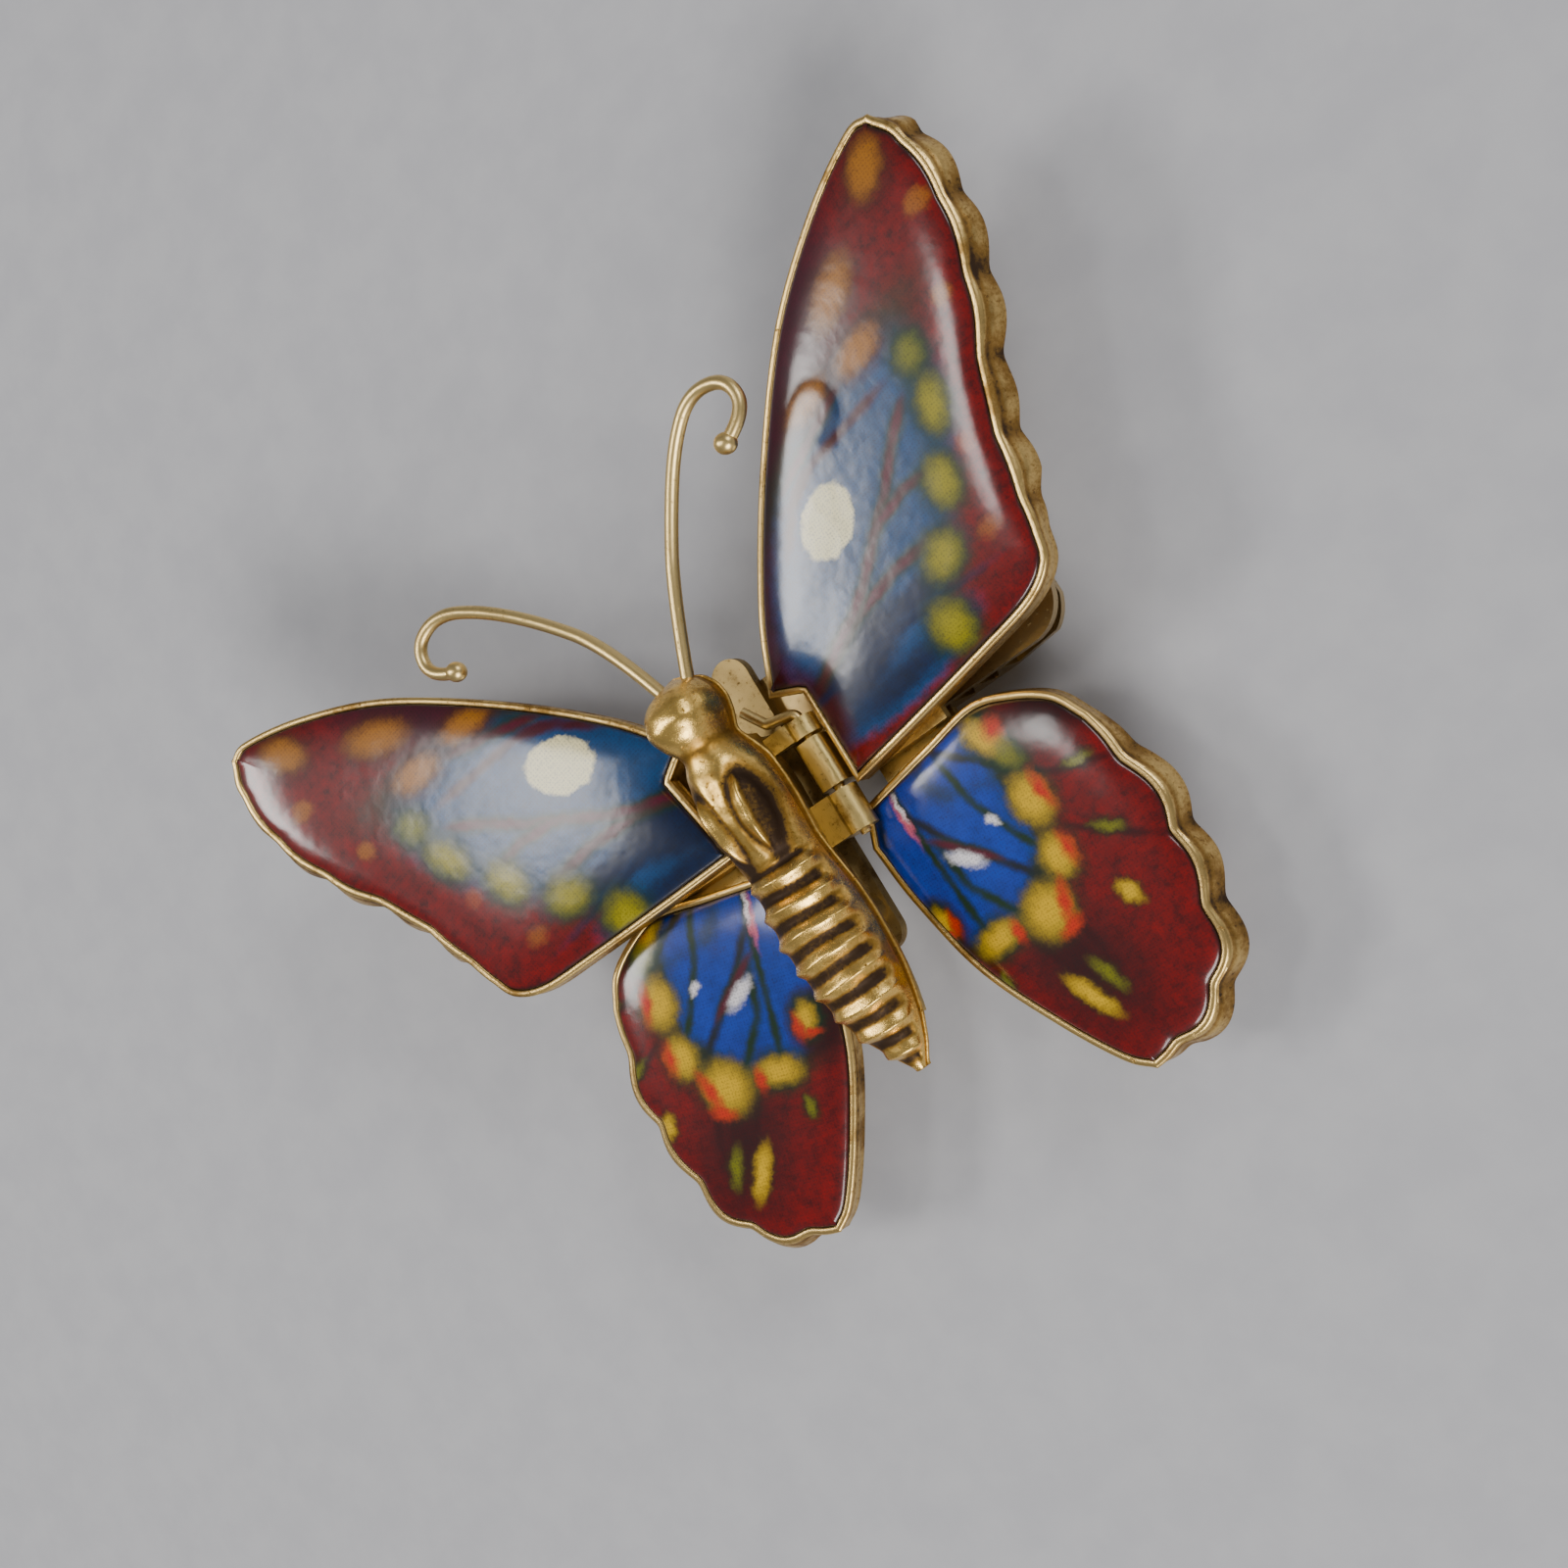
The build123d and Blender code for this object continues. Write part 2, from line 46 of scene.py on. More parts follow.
HINGE_X = 2.1           # wing planes are measured from here
TRAY_HEIGHT = 0.90
TRAY_FLOOR = 0.25
RIM = 0.25
DOME = 0.35
FLARE = 0.38            # how far the scalloped foot stands out past the rim
LEAD_ROLL = 0.035       # how proud the rolled rim and the foot's lip stand
INLAY_GAP = 0.005       # between the printed inlay and the rim round it
CORNER_REACH = 1.1      # corners and scallops of the dome are averaged out over this length

WINGS = {
    "forewing_right": {"raise": 7.2, "turn": 0.0, "shift": (0.0, 0.0), "z": -2.00},
    "forewing_left": {"raise": 9.8, "turn": -11.1, "shift": (0.07, 0.39), "z": -1.90},
    "hindwing_right": {"raise": 2.9, "turn": 0.0, "shift": (0.0, 0.0), "z": -2.65},
    "hindwing_left": {"raise": 3.7, "turn": 4.2, "shift": (-0.05, -0.11), "z": -2.65},
}
# Where the print sits in each tray. The left ones differ from the right ones, and their values
# also take up what the wings' angles above leave over.
PRINT_PLACE = {
    "forewing_right": {"scale": 1.0, "turn": 0.0, "shift": (0.0, 0.0)},
    "forewing_left": {"scale": 1.07, "turn": -1.3, "shift": (-2.58, -1.20)},
    "hindwing_right": {"scale": 1.0, "turn": 0.0, "shift": (0.0, 0.0)},
    "hindwing_left": {"scale": 1.075, "turn": 9.3, "shift": (0.30, -0.49)},
}

FORE_INNER = [(2.8, 2.0), (6.0, 2.45), (9.6, 3.0), (12.0, 3.45), (13.2, 4.2), (13.6, 5.3)]
FORE_OUTER = [(13.6, 5.3), (14.1, 7.6), (14.8, 9.9), (16.1, 12.5), (17.0, 15.4), (17.0, 18.0), (16.3, 19.55)]
FORE_LEADING = [
    (16.3, 19.55), (15.3, 19.65), (12.6, 18.5), (9.3, 16.3), (5.7, 12.6), (2.9, 9.0), (1.45, 6.35),
]
FORE_BASE = [(1.45, 6.35), (2.8, 5.75), (2.8, 2.0)]
HIND_INNER = [(1.6, -0.2), (1.9, -2.6), (2.7, -5.8), (4.2, -8.7), (5.6, -10.8), (6.5, -11.55)]
HIND_OUTER = [(6.5, -11.55), (8.9, -10.95), (10.7, -9.3), (11.5, -6.4), (11.75, -3.6), (11.1, -0.4)]
HIND_TOP = [(11.1, -0.4), (10.4, 0.8), (9.1, 1.65), (7.6, 2.1), (5.4, 1.75), (3.3, 1.4)]
HIND_BASE = [(3.3, 1.4), (2.2, 1.2), (1.6, -0.2)]
FORE_LOBES = 6.5
HIND_LOBES = 5.0
MEAN_BUMP = 0.65        # a scallop's height is counted from here, of 0 in a notch to 1 on a crest
FORE_WAVE = {"rim": 0.10, "foot": 0.34}
HIND_WAVE = {"rim": 0.36, "foot": 0.46}
CUSP_ROUNDING = 0.06    # 0 would leave sharp notches between the scallops

BODY_TILT = 4.5
BODY_PROFILE = [
    (8.35, 0.35, 0.60), (8.0, 1.00, 1.60), (7.4, 1.42, 2.25), (6.8, 1.52, 2.45), (6.2, 1.38, 2.25),
    (5.6, 1.08, 1.75), (5.1, 1.34, 1.85), (4.3, 1.66, 2.10), (3.4, 1.72, 2.25), (2.5, 1.70, 2.20),
    (1.7, 1.63, 2.00), (1.1, 1.56, 1.80), (0.2, 1.63, 1.85), (-1.15, 1.80, 2.05), (-2.2, 1.82, 2.09),
    (-3.2, 1.76, 2.03), (-4.2, 1.66, 1.92), (-5.1, 1.46, 1.70), (-6.0, 1.18, 1.32), (-6.9, 0.75, 0.80),
    (-7.65, 0.24, 0.32),
]
FIRST_CREST = 0.45      # y of the first ridge of the abdomen
RIDGE_PITCH = 1.03
RIDGES = 8
FLANGE = 0.10           # width of the body's flat edge
FLANGE_TOP = 0.14
BODY_ACROSS, BODY_ALONG = 120, 620

ANTENNA_R = 0.25
ANTENNA_BALL_R = 0.40
ANTENNA_ROUTE = [
    (0.48, 7.75, 0.85), (1.64, 10.76, 0.60), (3.45, 13.10, 0.95), (5.10, 14.70, 1.40),
    (6.60, 15.55, 1.70), (8.05, 15.10, 1.75), (8.10, 13.70, 1.85), (6.90, 13.25, 1.95),
]

FLOOR_HALF = 1.5        # metres

PIVOT = (-4.5, -5.0)    # x, z of the clip's pivot
COIL_MID = 0.66         # radius of the spring's turns, to the middle of the wire
SPRING_WIRE_R = 0.15
COIL_START, COIL_END = -1.05, 0.85      # along the pivot, from the clip's centre line
COIL_TURNS = 6
LEG_ALONG = 1.21        # where the lower leg and its one turn sit along the pivot


def srgb(red, green, blue):
    """Linear colour from 0-255 display values."""
    out = []
    for value in (red, green, blue):
        c = value / 255
        out.append(c / 12.92 if c <= 0.04045 else ((c + 0.055) / 1.055) ** 2.4)
    return (*out, 1.0)


# ---- node helpers -----------------------------------------------------------------
def new_material(name):
    """An empty node material and its Principled shader."""
    material = bpy.data.materials.new(name)
    material.use_nodes = True
    tree = material.node_tree
    tree.nodes.clear()
    output = tree.nodes.new("ShaderNodeOutputMaterial")
    shader = tree.nodes.new("ShaderNodeBsdfPrincipled")
    tree.links.new(shader.outputs[0], output.inputs["Surface"])
    return material, tree, shader


def feed(tree, socket, value):
    """Links a socket, or sets its value."""
    if isinstance(value, bpy.types.NodeSocket):
        tree.links.new(value, socket)
    else:
        socket.default_value = value


def maths(tree, kind, first, second=0.0, clamp=False):
    """One Math node."""
    node = tree.nodes.new("ShaderNodeMath")
    node.operation = kind
    node.use_clamp = clamp
    feed(tree, node.inputs[0], first)
    feed(tree, node.inputs[1], second)
    return node.outputs[0]


def vector_maths(tree, kind, first, second=(0.0, 0.0, 0.0)):
    """One Vector Math node; LENGTH gives a value."""
    node = tree.nodes.new("ShaderNodeVectorMath")
    node.operation = kind
    feed(tree, node.inputs[0], first)
    feed(tree, node.inputs[1], second)
    return node.outputs["Value" if kind == "LENGTH" else "Vector"]


def mix(tree, factor, below, above, blend="MIX"):
    """One colour Mix node."""
    node = tree.nodes.new("ShaderNodeMix")
    node.data_type = "RGBA"
    node.blend_type = blend
    feed(tree, node.inputs[0], factor)
    feed(tree, node.inputs[6], below)
    feed(tree, node.inputs[7], above)
    return node.outputs[2]


def noise(tree, where, scale, detail=4.0, rough=0.6):
    """A Noise texture: its value and its colour."""
    node = tree.nodes.new("ShaderNodeTexNoise")
    node.inputs["Scale"].default_value = scale
    node.inputs["Detail"].default_value = detail
    node.inputs["Roughness"].default_value = rough
    tree.links.new(where, node.inputs["Vector"])
    return node.outputs[0], node.outputs[1]


def spread(tree, value, low, high, to_low=0.0, to_high=1.0):
    """A smooth Map Range."""
    node = tree.nodes.new("ShaderNodeMapRange")
    node.interpolation_type = "SMOOTHSTEP"
    feed(tree, node.inputs["Value"], value)
    for name, number in (("From Min", low), ("From Max", high), ("To Min", to_low), ("To Max", to_high)):
        node.inputs[name].default_value = number
    return node.outputs["Result"]


def in_millimetres(tree, stretch=(1.0, 1.0, 1.0)):
    """Object coordinates in millimetres, stretched along an axis for brushed metal."""
    place = tree.nodes.new("ShaderNodeTexCoord")
    return vector_maths(tree, "MULTIPLY", place.outputs["Object"], tuple(s / MM for s in stretch))


def bump(tree, height, depth_mm, under=None):
    """A Bump node whose height is in millimetres."""
    node = tree.nodes.new("ShaderNodeBump")
    node.inputs["Strength"].default_value = 1.0
    node.inputs["Distance"].default_value = depth_mm * MM
    tree.links.new(height, node.inputs["Height"])
    if under is not None:
        tree.links.new(under, node.inputs["Normal"])
    return node.outputs[0]


# ---- metals -----------------------------------------------------------------------
def metal(name, light, middle, dark, rough, brushed=(1.0, 1.0, 1.0), tarnish=0.35, grain=0.004):
    """Worn metal: clean on high points, brown in the recesses and where the mesh paints shade, with fine
    pits and a soft grain.
    """
    material, tree, shader = new_material(name)
    where = in_millimetres(tree)
    along = in_millimetres(tree, brushed)
    recess = tree.nodes.new("ShaderNodeAttribute")
    recess.attribute_name = "recess"
    clouds, _ = noise(tree, where, 0.55, 5.0)
    speckle, _ = noise(tree, where, 5.5, 6.0, 0.7)
    fine, _ = noise(tree, along, 7.0, 5.0, 0.7)
    patches = maths(tree, "MULTIPLY", spread(tree, clouds, 0.45, 0.75), tarnish)
    # the recess attribute: patina, and on the body also the lobes' painted dark reflection
    wear_and_shade = maths(tree, "ADD", recess.outputs["Fac"], patches)
    wear_and_shade = maths(tree, "ADD", wear_and_shade, spread(tree, speckle, 0.54, 0.72, 0.0, 0.45))
    wear_and_shade = maths(tree, "ADD", wear_and_shade, spread(tree, fine, 0.35, 0.75, -0.08, 0.14), clamp=True)
    tone = mix(tree, spread(tree, wear_and_shade, 0.0, 0.55), light, middle)
    tone = mix(tree, spread(tree, wear_and_shade, 0.45, 1.0), tone, dark)
    tree.links.new(tone, shader.inputs["Base Color"])
    tree.links.new(spread(tree, wear_and_shade, 0.0, 1.0, rough, rough + 0.30), shader.inputs["Roughness"])
    tree.links.new(spread(tree, wear_and_shade, 0.55, 1.0, 1.0, 0.55), shader.inputs["Metallic"])
    pits = spread(tree, speckle, 0.60, 0.72, 0.0, -1.0)
    relief = maths(tree, "ADD", fine, pits)
    tree.links.new(bump(tree, relief, grain), shader.inputs["Normal"])
    return material


# ---- the printed wings ------------------------------------------------------------
# A spot is (x, y, half length, half width, turn in degrees, softness, colour), in millimetres
# on the right wing's plan. A vein is (points, half width, colour).
DOT_PITCH = 0.17
MAROON = srgb(122, 2, 1)
DARK_RED = srgb(52, 1, 2)
PLUM = srgb(70, 10, 30)
DARK_GREEN = srgb(4, 44, 18)
YELLOW_GREEN = srgb(150, 140, 6)
OCHRE = srgb(160, 100, 14)
OCHRE_DARK = srgb(150, 84, 16)
CREAM = srgb(232, 222, 170)
FORE_BLUE = srgb(4, 66, 118)
NAVY = srgb(2, 28, 66)
VEIN_RED = srgb(84, 4, 34)
HIND_BLUE = srgb(0, 56, 166)
YELLOW = srgb(214, 172, 4)
ORANGE = srgb(196, 40, 0)
WHITE = srgb(236, 232, 236)
PINK = srgb(214, 96, 120)
OLIVE = srgb(112, 112, 6)


def haloed(spots, halo, grow, inner):
    """Each spot over a softer, larger one of the halo's colour."""
    out = [(x, y, rx + grow, ry + grow, turn, 0.45, halo) for x, y, rx, ry, turn, _ in spots]
    return out + [(x, y, rx, ry, turn, inner, colour) for x, y, rx, ry, turn, colour in spots]


FORE_FIELDS = [
    (6.4, 12.2, 9.5, 2.2, 47, 0.30, PLUM),
    (1.8, 6.6, 0.8, 1.6, 0, 0.25, DARK_RED),
    (9.8, 12.6, 4.6, 1.1, 18, 0.5, DARK_GREEN),
    (8.3, 8.9, 6.4, 3.3, 40, 0.16, FORE_BLUE),
    (6.3, 4.2, 4.0, 1.15, 4, 0.22, FORE_BLUE),
    (8.0, 6.1, 3.2, 1.1, 8, 0.25, FORE_BLUE),
    (5.6, 5.4, 2.4, 1.2, 20, 0.3, NAVY),
    (8.9, 5.9, 1.4, 0.45, 5, 0.5, NAVY),
    (6.6, 3.9, 2.4, 0.5, 5, 0.6, NAVY),
    (3.2, 4.6, 0.9, 1.5, 0, 0.5, PLUM),
]
FORE_SPOTS = haloed([
    (9.3, 4.35, 0.62, 0.70, 10, YELLOW_GREEN), (10.4, 6.4, 0.68, 0.52, 25, YELLOW_GREEN),
    (11.8, 8.4, 0.48, 0.70, -15, YELLOW_GREEN), (12.95, 10.6, 0.44, 0.74, -20, YELLOW_GREEN),
    (13.2, 12.4, 0.42, 0.50, -30, OLIVE),
], DARK_GREEN, 0.44, 0.80) + haloed([
    (9.1, 13.6, 0.90, 0.42, 12, OCHRE), (11.7, 13.7, 0.90, 0.45, 10, OCHRE),
    (12.0, 15.8, 1.15, 0.55, 30, OCHRE), (15.3, 18.2, 0.9, 0.55, 50, OCHRE),
], srgb(70, 24, 12), 0.35, 0.60) + [
    (16.2, 16.1, 0.5, 0.35, 0, 0.5, OCHRE_DARK), (15.2, 13.2, 0.35, 0.32, 0, 0.5, OCHRE_DARK),
    (12.3, 6.2, 0.40, 0.30, 0, 0.6, srgb(140, 70, 14)), (13.2, 8.9, 0.32, 0.30, 0, 0.6, srgb(140, 50, 14)),
    (7.4, 9.85, 1.38, 1.02, 35, 0.10, CREAM),
]
FORE_VEINS = [
    ([(3.2, 5.0), (6.0, 5.4), (10.5, 5.3)], 0.13, NAVY),
    ([(4.0, 5.6), (6.5, 6.6), (8.5, 7.0), (10.5, 7.1)], 0.13, VEIN_RED),
    ([(4.5, 5.9), (6.3, 6.7), (7.4, 7.4), (8.5, 8.3), (9.8, 9.3), (11.0, 10.5), (12.0, 11.3)],
     0.13, VEIN_RED),
    ([(8.9, 8.6), (10.5, 9.0), (12.0, 8.9)], 0.12, VEIN_RED),
    ([(6.5, 11.2), (8.2, 11.8), (10.0, 12.0), (11.5, 12.2)], 0.15, PLUM),
    ([(7.0, 11.9), (8.7, 12.6), (10.2, 13.2)], 0.13, VEIN_RED),
    ([(5.5, 10.0), (6.5, 11.0), (7.5, 11.7)], 0.15, PLUM),
]

HIND_FIELDS = [
    (4.3, -1.5, 3.5, 4.1, 0, 0.18, DARK_GREEN),
    (4.2, -1.3, 3.0, 3.8, 0, 0.10, HIND_BLUE),
    (6.5, 0.9, 1.9, 1.5, 0, 0.3, DARK_GREEN),
    (6.3, 0.9, 1.5, 1.2, -35, 0.3, HIND_BLUE),
    (6.4, -1.9, 0.75, 1.7, 20, 0.25, HIND_BLUE),
    (2.3, -4.0, 1.0, 1.2, 0, 0.4, DARK_RED),
    (9.9, 0.6, 1.5, 1.3, 0, 0.6, DARK_RED),
    (6.4, -7.4, 1.5, 2.4, 25, 0.9, DARK_RED),
]
HIND_SPOTS = haloed([
    (7.55, 0.85, 0.72, 0.42, -60, YELLOW), (8.0, -0.10, 0.50, 0.34, -50, OLIVE),
    (7.9, -1.8, 0.58, 0.75, 5, YELLOW), (7.65, -3.85, 0.50, 0.62, 0, YELLOW),
    (6.3, -5.25, 0.80, 0.72, 45, YELLOW), (4.15, -5.2, 0.72, 0.42, 8, YELLOW),
    (2.55, -3.7, 0.30, 0.46, 10, YELLOW),
], DARK_GREEN, 0.36, 0.75) + [
    (8.0, 0.95, 0.34, 0.34, -40, 0.9, ORANGE), (8.42, -1.7, 0.22, 0.60, 5, 0.9, ORANGE),
    (8.13, -3.8, 0.24, 0.50, 0, 0.9, ORANGE), (6.98, -5.3, 0.22, 0.70, -20, 0.9, ORANGE),
    (6.75, -6.1, 0.44, 0.22, 20, 0.9, ORANGE), (4.95, -5.35, 0.18, 0.34, 0, 0.9, ORANGE),
    (2.93, -3.95, 0.18, 0.42, 0, 0.9, ORANGE), (2.5, -4.25, 0.30, 0.14, 0, 0.9, ORANGE),
] + haloed([
    (10.0, -1.5, 0.42, 0.14, -10, OLIVE), (9.7, -3.9, 0.48, 0.16, -32, OLIVE),
    (9.15, -6.1, 0.26, 0.42, 25, YELLOW), (6.05, -8.45, 0.26, 0.90, 28, YELLOW),
    (6.95, -8.05, 0.20, 0.62, 22, OLIVE), (3.45, -6.7, 0.18, 0.34, 0, OLIVE),
], srgb(52, 34, 2), 0.16, 0.75) + [
    (3.4, 0.0, 0.12, 0.80, 3, 0.8, PINK), (3.45, 0.5, 0.08, 0.5, 3, 0.8, WHITE),
    (4.68, -2.30, 0.66, 0.26, -38, 0.60, WHITE), (6.3, -1.65, 0.26, 0.14, -50, 0.8, WHITE),
]
HIND_VEINS = [
    ([(3.4, 1.5), (3.6, -0.5), (3.7, -2.5), (3.9, -4.8)], 0.12, DARK_GREEN),
    ([(3.6, 0.0), (4.6, -1.6), (5.8, -3.0), (6.8, -4.2)], 0.13, srgb(14, 24, 40)),
    ([(5.6, 1.2), (6.0, -0.8), (6.8, -2.5), (7.2, -3.2)], 0.12, DARK_GREEN),
    ([(5.6, 1.4), (7.0, 0.3), (7.8, -0.6), (8.8, -1.2)], 0.12, srgb(8, 24, 30)),
    ([(2.8, 1.5), (2.0, -0.8)], 0.14, NAVY),
    ([(4.0, -1.5), (4.3, -3.2), (5.4, -4.9)], 0.14, DARK_GREEN),
    ([(4.0, -1.25), (4.9, -2.05), (5.7, -2.8)], 0.10, VEIN_RED),
    ([(6.8, -4.4), (7.2, -7.0)], 0.12, DARK_RED),
    ([(8.5, -3.2), (10.8, -4.8)], 0.12, DARK_RED),
    ([(8.8, -1.3), (10.8, -1.9)], 0.12, DARK_RED),
    ([(6.2, -6.0), (6.9, -8.4)], 0.13, DARK_RED),
    ([(5.0, -5.2), (6.0, -7.5)], 0.13, DARK_RED),
]


def vein_spots(veins):
    """Each straight piece of a vein as a long thin soft spot."""
    out = []
    for points, half, colour in veins:
        for (x0, y0), (x1, y1) in zip(points, points[1:]):
            length = math.hypot(x1 - x0, y1 - y0)
            turn = math.degrees(math.atan2(y1 - y0, x1 - x0))
            middle = ((x0 + x1) / 2, (y0 + y1) / 2, 0.60 * length)
            if colour == VEIN_RED:
                out.append((*middle, 2.2 * half, turn, 0.8, DARK_GREEN))
            out.append((*middle, 1.3 * half, turn, 0.75, colour))
    return out


def lay_spot(tree, where, below, spot):
    """One soft-edged oval of colour over what is below it."""
    x, y, half_long, half_wide, turn, softness, colour = spot
    local = tree.nodes.new("ShaderNodeMapping")
    local.vector_type = "TEXTURE"
    local.inputs["Location"].default_value = (x, y, 0)
    local.inputs["Rotation"].default_value = (0, 0, math.radians(turn))
    local.inputs["Scale"].default_value = (half_long, half_wide, 1)
    tree.links.new(where, local.inputs["Vector"])
    reach = vector_maths(tree, "LENGTH", local.outputs[0])
    return mix(tree, spread(tree, reach, 1 + softness, 1 - softness), below, colour)


def halftone(tree, where):
    """Print screen at 45 degrees: 1 on a dot."""
    screen = tree.nodes.new("ShaderNodeMapping")
    screen.inputs["Rotation"].default_value = (0, 0, math.radians(45))
    screen.inputs["Scale"].default_value = (2 * math.pi / DOT_PITCH,) * 3
    tree.links.new(where, screen.inputs["Vector"])
    split = tree.nodes.new("ShaderNodeSeparateXYZ")
    tree.links.new(screen.outputs[0], split.inputs[0])
    across = maths(tree, "SINE", split.outputs[0])
    along = maths(tree, "SINE", split.outputs[1])
    waves = maths(tree, "MULTIPLY", across, along)
    return spread(tree, waves, 0.1, 0.7)


def printed(name, fields, veins, spots):
    """Halftone print under a glossy domed varnish."""
    material, tree, shader = new_material(name)
    plan = tree.nodes.new("ShaderNodeAttribute")
    plan.attribute_name = "plan"
    where = plan.outputs["Vector"]
    _, ragged = noise(tree, where, 2.6, 5.0)
    centred = vector_maths(tree, "SUBTRACT", ragged, (0.5, 0.5, 0.5))
    offset = vector_maths(tree, "MULTIPLY", centred, (0.52, 0.52, 0.0))
    torn = vector_maths(tree, "ADD", where, offset)
    wavy = vector_maths(tree, "ADD", where, vector_maths(tree, "MULTIPLY", offset, (0.45, 0.45, 0.0)))
    clouds, _ = noise(tree, where, 1.1, 6.0, 0.7)
    blots, _ = noise(tree, where, 1.9, 6.0, 0.78)
    colour = mix(tree, spread(tree, blots, 0.40, 0.72, 0.0, 0.85), MAROON, DARK_RED)
    colour = mix(tree, spread(tree, clouds, 0.48, 0.74, 0.0, 0.55), colour, srgb(148, 5, 2))
    for spot in fields:
        colour = lay_spot(tree, torn, colour, spot)
    shade, _ = noise(tree, where, 1.7, 4.0)
    colour = mix(tree, spread(tree, shade, 0.35, 0.70, 0.0, 0.28), colour, srgb(12, 16, 18))
    for spot in vein_spots(veins):
        colour = lay_spot(tree, wavy, colour, spot)
    for spot in spots:
        colour = lay_spot(tree, torn, colour, spot)
    grit, _ = noise(tree, where, 9.0, 3.0, 0.8)
    colour = mix(tree, spread(tree, grit, 0.50, 0.68, 0.0, 0.42), colour, srgb(20, 8, 4))
    dots = maths(tree, "MULTIPLY", halftone(tree, where), 0.22)
    colour = mix(tree, dots, colour, srgb(16, 8, 18))
    edge = tree.nodes.new("ShaderNodeAttribute")
    edge.attribute_name = "recess"
    colour = mix(tree, edge.outputs["Fac"], colour, srgb(20, 6, 10))
    tree.links.new(colour, shader.inputs["Base Color"])
    shader.inputs["Roughness"].default_value = 0.42
    shader.inputs["Specular IOR Level"].default_value = 0.15
    shader.inputs["Coat Weight"].default_value = 1.0
    shader.inputs["Coat Roughness"].default_value = 0.16
    shader.inputs["Coat IOR"].default_value = 1.52
    pits, _ = noise(tree, where, 5.0, 4.0, 0.75)
    swell, _ = noise(tree, where, 0.7, 2.0)
    surface = bump(tree, pits, 0.0016, bump(tree, swell, 0.012))
    tree.links.new(surface, shader.inputs["Coat Normal"])
    tree.links.new(surface, shader.inputs["Normal"])
    return material


def card():
    """Grey-white card with fibres, under the prints."""
    material, tree, shader = new_material("backing_card")
    fibres, _ = noise(tree, in_millimetres(tree, (1.0, 4.0, 1.0)), 3.0, 6.0)
    tone = mix(tree, spread(tree, fibres, 0.35, 0.7), srgb(206, 200, 186), srgb(168, 160, 146))
    tree.links.new(tone, shader.inputs["Base Color"])
    shader.inputs["Roughness"].default_value = 0.85
    tree.links.new(bump(tree, fibres, 0.02), shader.inputs["Normal"])
    return material


BRASS_LIGHT = (0.95, 0.62, 0.17, 1.0)
BRASS_MIDDLE = (0.44, 0.24, 0.045, 1.0)
BRASS_DARK = (0.040, 0.018, 0.005, 1.0)
STEEL_LIGHT = (0.62, 0.62, 0.60, 1.0)
STEEL_DARK = (0.16, 0.15, 0.14, 1.0)


def all_materials():
    """Every material by its name."""
    scratched = (9.0, 1.0, 1.0)
    return {
        "body_brass": metal("body_brass", BRASS_LIGHT, BRASS_MIDDLE, BRASS_DARK, 0.27,
                            tarnish=0.32, grain=0.012),
        "tray_brass": metal("tray_brass", (0.78, 0.54, 0.20, 1), (0.34, 0.19, 0.05, 1), BRASS_DARK, 0.30,
                            tarnish=0.55, grain=0.006),
        "hinge_brass": metal("hinge_brass", (0.64, 0.47, 0.17, 1), (0.28, 0.17, 0.05, 1), BRASS_DARK, 0.32,
                             scratched, 0.50, 0.008),
        "wire_brass": metal("wire_brass", (0.84, 0.62, 0.26, 1), (0.50, 0.33, 0.11, 1), BRASS_DARK, 0.34,
                            (1.0, 5.0, 1.0), 0.30, 0.004),
        "clip_brass": metal("clip_brass", (0.58, 0.42, 0.18, 1), (0.30, 0.19, 0.07, 1), BRASS_DARK, 0.30,
                            (1.0, 8.0, 1.0), 0.40, 0.005),
        # darker colours than the other brasses: painted shade on the strap and posts; the rough, dull finish
        # is their own
        "shaded_strap_brass": metal("shaded_strap_brass", (0.42, 0.30, 0.12, 1), (0.20, 0.12, 0.04, 1), BRASS_DARK, 0.48,
                             (1.0, 6.0, 1.0), 0.70, 0.006),
        "spring_steel": metal("spring_steel", STEEL_LIGHT, (0.40, 0.39, 0.37, 1), STEEL_DARK, 0.24,
                              (4.0, 1.0, 1.0), 0.25, 0.003),
        "forewing_print": printed("forewing_print", FORE_FIELDS, FORE_VEINS, FORE_SPOTS),
        "hindwing_print": printed("hindwing_print", HIND_FIELDS, HIND_VEINS, HIND_SPOTS),
        "backing_card": card(),
    }


# ---- mesh helpers -----------------------------------------------------------------
def placed(points):
    """Millimetres about the body's middle to metres in the row frame."""
    return (np.asarray(points, float) + (0.0, -CLIP_AHEAD, LIFT)) * MM


def make_piece(name, points, faces, material, sharp=48, **attributes):
    """A smooth-shaded mesh object; each attribute has one number or one 3-vector per point."""
    mesh = bpy.data.meshes.new(name)
    mesh.from_pydata([tuple(p) for p in placed(points)], [], faces)
    for key, values in attributes.items():
        values = np.asarray(values, float)
        kind, field = ("FLOAT_VECTOR", "vector") if values.ndim == 2 else ("FLOAT", "value")
        layer = mesh.attributes.new(key, kind, "POINT")
        layer.data.foreach_set(field, values.ravel())
    mesh.polygons.foreach_set("use_smooth", [True] * len(mesh.polygons))
    mesh.set_sharp_from_angle(angle=math.radians(sharp))
    mesh.materials.append(material)
    mesh.update()
    piece = bpy.data.objects.new(name, mesh)
    bpy.context.scene.collection.objects.link(piece)
    return piece


